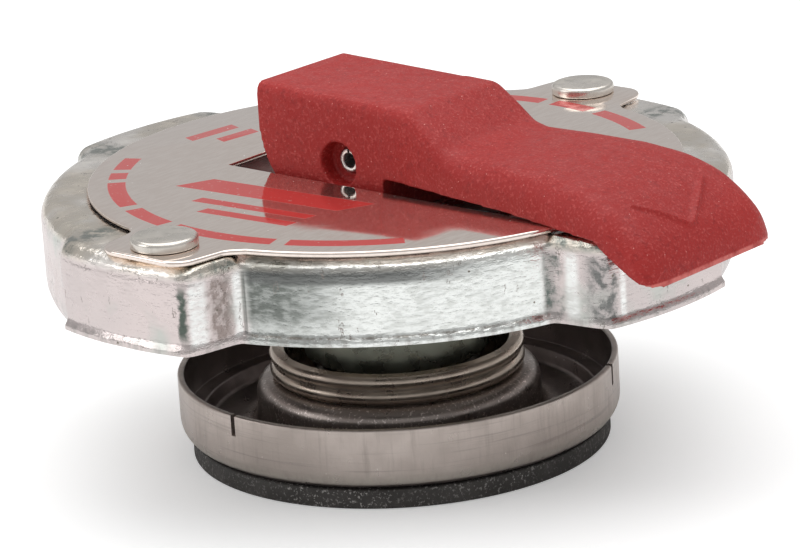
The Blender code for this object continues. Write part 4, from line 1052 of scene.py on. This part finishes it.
def raised_line(name, start, end, pieces=16):
    """Low rib on the handle between two places given as (x, y), narrower at both ends."""
    first = Vector(start)
    last = Vector(end)
    side = (last - first).orthogonal().normalized() * 0.5 * CHEVRON_WIDTH
    sections = []
    for i in range(pieces + 1):
        point = first + (last - first) * i / pieces
        spread = side * (0.5 + 0.5 * math.sin(math.pi * i / pieces))
        foot = top_at(point.x) - CHEVRON_ROOT
        crest = top_at(point.x) + CHEVRON_HEIGHT
        section = []
        for share, level in ((-1.0, foot), (-0.5, crest), (0.5, crest), (1.0, foot)):
            section.append((point.x + share * spread.x, point.y + share * spread.y, level))
        sections.append(section)
    return lofted(name, sections)


def build_lever():
    lever = lofted("lever_finish", crown_sections())
    side = prism("side", cam_points(24) + LEVER_AROUND + LEVER_UNDER, -SIDE_CUTTER_REACH, SIDE_CUTTER_REACH,
                 along="Y")
    combine(lever, [side], "INTERSECT")
    gap = 0.5 * TANG_THICK + 2.0 * SLIDE_GAP
    slot_reach = TANG_R + TANG_SLOT_MARGIN
    wide = LEVER_HALF_WIDTH + CUT_MARGIN
    inner = LEVER_HALF_WIDTH - COUNTERBORE_DEPTH
    cutters = [lofted("handle_hollow", hollow_sections()),
               box("tang_slot", (TANG_SLOT_BACK_X, -gap, -HEEL_REACH_DOWN - CUT_MARGIN),
                   (slot_reach, gap, slot_reach)),
               disc("pin_hole", PIN_R + FIT_GAP, (0.0, 0.0), -wide, wide, "Y"),
               disc("counterbore_front", COUNTERBORE_R, (0.0, 0.0), -wide, -inner, "Y"),
               disc("counterbore_rear", COUNTERBORE_R, (0.0, 0.0), inner, wide, "Y")]
    combine(lever, cutters, "DIFFERENCE")
    combine(lever, [raised_line("chevron_%d" % i, *ends) for i, ends in enumerate(CHEVRON)], "UNION")
    remesh = lever.modifiers.new("even_skin", "REMESH")
    remesh.mode = "VOXEL"
    remesh.voxel_size = SKIN_VOXEL * MM
    ease = lever.modifiers.new("soft_edges", "SMOOTH")
    ease.factor = SKIN_EASE
    ease.iterations = SKIN_EASE_ROUNDS
    apply_modifiers(lever)
    lever.data.materials.clear()
    lever.data.materials.append(RED)
    for face in lever.data.polygons:
        face.use_smooth = True
    lever.data.transform(Matrix.Translation((0.0, 0.0, PIN_Z * MM)))
    put(lever, "lever", "lever")


def build_pin():
    """Roll pin, modelled upright and laid along Y before its slit is cut on top."""
    outline = [(PIN_BORE_R, PIN_HALF_LENGTH), (PIN_R, PIN_HALF_LENGTH), (PIN_R, -PIN_HALF_LENGTH),
               (PIN_BORE_R, -PIN_HALF_LENGTH)]
    pin = turned("pivot_pin_finish", fillet(outline, [PIN_EDGE_R] * 4, 4, True), PIN_STEEL, 72)
    pin.data.transform(Matrix.Rotation(math.radians(90.0), 4, "X"))
    slit = box("pin_slit", (-0.5 * PIN_SLIT, -PIN_HALF_LENGTH - CUT_MARGIN, 0.5 * PIN_BORE_R),
               (0.5 * PIN_SLIT, PIN_HALF_LENGTH + CUT_MARGIN, PIN_R + CUT_MARGIN))
    combine(pin, [slit], "DIFFERENCE")
    smooth_mesh(pin.data)
    pin.data.transform(Matrix.Translation((0.0, 0.0, PIN_Z * MM)))
    put(pin, "lever", "pivot_pin")


# Turned pieces below the shell

def build_spring_seat(bead_pieces=12):
    """Cup with two rolled beads at the top and a crimp under the dome."""
    wall_inner = SEAT_WALL_R - SEAT_SHEET
    bead_low = DOME_TOP_Z + STACK_GAP
    bead_mid = 0.5 * (bead_low + SEAT_TOP_Z)
    profile = [(wall_inner + SEAT_LIP, SEAT_TOP_Z)]
    for top, low in ((SEAT_TOP_Z, bead_mid), (bead_mid, bead_low)):
        for i in range(1, bead_pieces):
            share = i / bead_pieces
            bulge = BEAD_NECK + (1.0 - BEAD_NECK) * math.sin(math.pi * share) ** BEAD_FULLNESS
            profile.append((SEAT_WALL_R + (SEAT_BEAD_R - SEAT_WALL_R) * bulge, top - (top - low) * share))
    crimp_top = DOME_TOP_Z - DISH_SHEET - STACK_GAP
    floor_hole_r = STEM_R + SLIDE_GAP
    floor_top = SEAT_FLOOR_Z + SEAT_SHEET
    profile += [(SEAT_WALL_R + BEAD_FOOT_REACH, bead_low), (SEAT_WALL_R, bead_low - BEAD_FOOT_HEIGHT),
                (SEAT_WALL_R, crimp_top),
                (SEAT_WALL_R + SEAT_CRIMP_REACH, crimp_top - 0.5 * SEAT_CRIMP_HEIGHT),
                (SEAT_WALL_R, crimp_top - SEAT_CRIMP_HEIGHT)]
    profile += arc((SEAT_WALL_R - SEAT_FLOOR_R, SEAT_FLOOR_Z + SEAT_FLOOR_R), SEAT_FLOOR_R, 0.0, -90.0, 5)
    profile += [(floor_hole_r, SEAT_FLOOR_Z), (floor_hole_r, floor_top)]
    profile += arc((wall_inner - SEAT_FLOOR_INNER_R, floor_top + SEAT_FLOOR_INNER_R), SEAT_FLOOR_INNER_R,
                   -90.0, 0.0, 4)
    profile.append((wall_inner, SEAT_TOP_Z - SEAT_LIP_DEPTH))
    seat = turned("spring_seat_finish", profile, BRONZE_STEEL)
    put(seat, "spring_seat", "spring_seat")


def build_dish():
    """Dish with an upright rim, a ledge, a central dome and slits in its rim."""
    hole_r = SEAT_WALL_R + STACK_GAP
    floor_top = DISH_BOTTOM_Z + DISH_SHEET
    inner_r = DISH_R - DISH_SHEET
    under_r = DOME_R - DISH_SHEET
    ledge_z = floor_top + DISH_LEDGE_RISE
    under_z = DOME_TOP_Z - DISH_SHEET
    outline = [(inner_r, DISH_TOP_Z), (DISH_R, DISH_TOP_Z), (DISH_R, DISH_BOTTOM_Z), (under_r, DISH_BOTTOM_Z),
               (under_r, under_z), (hole_r, under_z), (hole_r, DOME_TOP_Z), (DOME_R, DOME_TOP_Z),
               (DOME_R, floor_top), (DISH_LEDGE_R - DISH_LEDGE_SLOPE, floor_top), (DISH_LEDGE_R, ledge_z),
               (inner_r, ledge_z)]
    dish = turned("valve_plate_finish", fillet(outline, DISH_BENDS, 8, True), DULL_STEEL, 192)
    slits = []
    for angle in RIM_SLIT_ANGLES:
        low = (inner_r - CUT_MARGIN, -0.5 * RIM_SLIT_WIDTH, DISH_TOP_Z - RIM_SLIT_DEPTH)
        high = (DISH_R + CUT_MARGIN, 0.5 * RIM_SLIT_WIDTH, DISH_TOP_Z + CUT_MARGIN)
        slit = box("rim_slit_%d" % angle, low, high)
        slit.data.transform(Matrix.Rotation(math.radians(angle), 4, "Z"))
        slits.append(slit)
    combine(dish, slits, "DIFFERENCE")
    smooth_mesh(dish.data)
    put(dish, "valve", "valve_plate")


def build_gasket():
    lip_low = GASKET_HEIGHT - GASKET_LIP_THICK
    outline = [(GASKET_OUTER_R, GASKET_HEIGHT), (GASKET_OUTER_R, 0.0), (GASKET_RING_INNER_R, 0.0),
               (GASKET_RING_INNER_R, lip_low), (GASKET_LIP_INNER_R, lip_low),
               (GASKET_LIP_INNER_R, GASKET_HEIGHT)]
    turned_piece("valve_gasket", outline, GASKET_BENDS, 4, RUBBER, "valve", 192)


def build_bell():
    hole_r = COLLAR_R + FIT_GAP
    inner_r = BELL_R - BELL_SHEET
    under_z = BELL_TOP_Z - BELL_SHEET
    outline = [(hole_r, BELL_TOP_Z), (BELL_R, BELL_TOP_Z), (BELL_R, BELL_BOTTOM_Z), (inner_r, BELL_BOTTOM_Z),
               (inner_r, under_z), (hole_r, under_z)]
    turned_piece("bell", outline, BELL_BENDS, 8, GREEN_STEEL, "cap")


def build_spring_disc():
    low = low_z("spring_disc")
    rim_top = high_z("spring_disc")
    rim_low = rim_top - DISC_SHEET
    outer_r = reach("spring_disc")
    hole_r = COLLAR_R + FIT_GAP
    bend_r = DISC_FLAT_R + DISC_CONE_WIDTH
    outline = [(hole_r, low + DISC_SHEET), (DISC_FLAT_R, low + DISC_SHEET), (bend_r, rim_top),
               (outer_r, rim_top), (outer_r, rim_low), (bend_r + DISC_CONE_SHIFT, rim_low),
               (DISC_FLAT_R + DISC_CONE_SHIFT, low), (hole_r, low)]
    made = turned("spring_disc_finish", fillet(outline, DISC_BENDS, 5, True), BRIGHT_STEEL)
    keep_inside(made, "spring_disc")
    put(made, "cap", "spring_disc")


def build_rings():
    """Plain flat rings whose reach and levels come from their CAD nodes."""
    rings = (("upper_gasket", reach("upper_gasket") - UPPER_GASKET_WIDTH, UPPER_GASKET_EDGE_R, 5,
              RUBBER, "cap", "black_rubber"),
             ("gasket_retainer", reach("gasket_retainer") - RETAINER_WIDTH, RETAINER_EDGE_R, 4,
              DULL_STEEL, "valve", "dull_plated_steel"),
             ("vacuum_valve", STEM_NECK_R + SLIDE_GAP, VENT_EDGE_R, 4, BRASS, "vent", "vent_brass"))
    for node, inner_r, edge_r, pieces, look, body, slot in rings:
        low = low_z(node)
        high = high_z(node)
        outline = [(reach(node), high), (reach(node), low), (inner_r, low), (inner_r, high)]
        turned_piece(node, outline, [edge_r] * 4, pieces, look, body)


def coil_height(turn, low, high):
    """Height of the coil's wire after some turns; its first and last turns lie closed."""
    from_top = SPRING_TURNS - turn
    if turn < CLOSED_TURNS:
        return low + CLOSED_PITCH * turn
    if from_top < CLOSED_TURNS:
        return high - CLOSED_PITCH * from_top
    rising = (turn - CLOSED_TURNS) / (SPRING_TURNS - 2.0 * CLOSED_TURNS)
    closed = CLOSED_PITCH * CLOSED_TURNS
    return low + closed + (high - low - 2.0 * closed) * rising


def build_spring(per_turn=48, sides=12):
    """Coil with closed end turns."""
    bottom = low_z("pressure_spring")
    top = high_z("pressure_spring")
    mean_r = reach("pressure_spring") - SPRING_WIRE_R
    sections = []
    for i in range(int(SPRING_TURNS * per_turn) + 1):
        turn = i / per_turn
        height = coil_height(turn, bottom + SPRING_WIRE_R, top - SPRING_WIRE_R)
        wire = arc((mean_r, height), SPRING_WIRE_R, 0.0, 360.0, sides)[:-1]
        sections.append([around(math.tau * turn, radius, z) for radius, z in wire])
    spring = lofted("pressure_spring_finish", sections, SPRING_STEEL)
    keep_inside(spring, "pressure_spring")
    smooth_mesh(spring.data)
    put(spring, "cap", "pressure_spring")
    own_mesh(spring)


def dress_cad_nodes():
    """The plainer pieces keep their CAD shape and get a finish."""
    looks = {"stem": BRIGHT_STEEL, "wear_plate": BRIGHT_STEEL, "spring_washer": BRIGHT_STEEL,
             "stem_seal": RUBBER, "seal_cup": BRIGHT_STEEL, "vacuum_seal": RUBBER}
    for node, look in looks.items():
        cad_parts[node].data.materials.clear()
        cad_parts[node].data.materials.append(look)


# Camera, light and floor

CAMERA_AZIMUTH = math.radians(-48.0)
CAMERA_ELEVATION = math.radians(17.1)
CAMERA_ROLL = math.radians(-3.6)
CAMERA_DISTANCE = 430.0
FOCAL_PX = 4110.0
PICTURE_WIDTH_PX = 800.0
PICTURE_HEIGHT_PX = 548.0
SENSOR_WIDTH = 36.0
AIM_Z = 20.0
AIM_PX = (391.0, 255.5)
WORLD_STRENGTH = 0.45
# Lamps as name, place and size in metres, and power in watts
LAMPS = (("overhead", (-0.05, 0.10, 1.10), 1.6, 11.5), ("front_left", (-0.45, -0.60, 0.40), 0.45, 1.0))
FLOOR_COLOUR = (0.93, 0.93, 0.93)
FLOOR_LIFT = 0.3
FLOOR_R = 3000.0
FLOOR_DROP = 0.05


def build_camera():
    toward = Vector((math.cos(CAMERA_ELEVATION) * math.cos(CAMERA_AZIMUTH),
                     math.cos(CAMERA_ELEVATION) * math.sin(CAMERA_AZIMUTH), math.sin(CAMERA_ELEVATION)))
    level = Vector((-math.sin(CAMERA_AZIMUTH), math.cos(CAMERA_AZIMUTH), 0.0))
    upright = toward.cross(level)
    right = level * math.cos(CAMERA_ROLL) + upright * math.sin(CAMERA_ROLL)
    up = upright * math.cos(CAMERA_ROLL) - level * math.sin(CAMERA_ROLL)
    pixel = CAMERA_DISTANCE / FOCAL_PX
    aim = Vector((0.0, 0.0, AIM_Z))
    aim -= right * (AIM_PX[0] - 0.5 * PICTURE_WIDTH_PX) * pixel
    aim += up * (AIM_PX[1] - 0.5 * PICTURE_HEIGHT_PX) * pixel
    data = bpy.data.cameras.new("camera")
    data.sensor_width = SENSOR_WIDTH
    data.lens = FOCAL_PX * SENSOR_WIDTH / PICTURE_WIDTH_PX
    camera = bpy.data.objects.new("camera", data)
    bpy.context.scene.collection.objects.link(camera)
    turn = Matrix((right, up, toward)).transposed().to_4x4()
    camera.matrix_world = Matrix.Translation((aim + toward * CAMERA_DISTANCE) * MM) @ turn
    bpy.context.scene.camera = camera


def area_light(name, place, size, power):
    """Square lamp that shines at the cap."""
    data = bpy.data.lights.new(name, "AREA")
    data.energy = power
    data.size = size
    made = bpy.data.objects.new(name, data)
    made.location = place
    toward = Vector((0.0, 0.0, AIM_Z * MM)) - made.location
    made.rotation_euler = toward.to_track_quat("-Z", "Y").to_euler()
    bpy.context.scene.collection.objects.link(made)


def floor_look():
    """Pale floor that the camera sees a little lighter, so that it's white outside the shadow."""
    look = Look("pale_floor", roughness=0.9)
    look.paint(FLOOR_COLOUR)
    look.set("Emission Color", (1.0, 1.0, 1.0, 1.0))
    seen = look.node("ShaderNodeLightPath", {})["Is Camera Ray"]
    look.set("Emission Strength", look.math("MULTIPLY", seen, FLOOR_LIFT))
    return look.material


def build_studio():
    world = bpy.data.worlds.new("studio")
    world.use_nodes = True
    bpy.context.scene.world = world
    background = world.node_tree.nodes["Background"]
    background.inputs["Color"].default_value = (1.0, 1.0, 1.0, 1.0)
    background.inputs["Strength"].default_value = WORLD_STRENGTH
    for lamp in LAMPS:
        area_light(*lamp)
    shape = bmesh.new()
    bmesh.ops.create_circle(shape, cap_ends=True, segments=64, radius=FLOOR_R * MM)
    floor = object_from(shape, "floor", floor_look())
    floor.location.z = -FLOOR_DROP * MM
    bpy.context.scene.view_settings.view_transform = "Standard"


build_shell()
build_plate()
build_rivets()
build_lever()
build_pin()
build_spring_seat()
build_dish()
build_gasket()
build_bell()
build_spring_disc()
build_rings()
build_spring()
dress_cad_nodes()
build_camera()
build_studio()
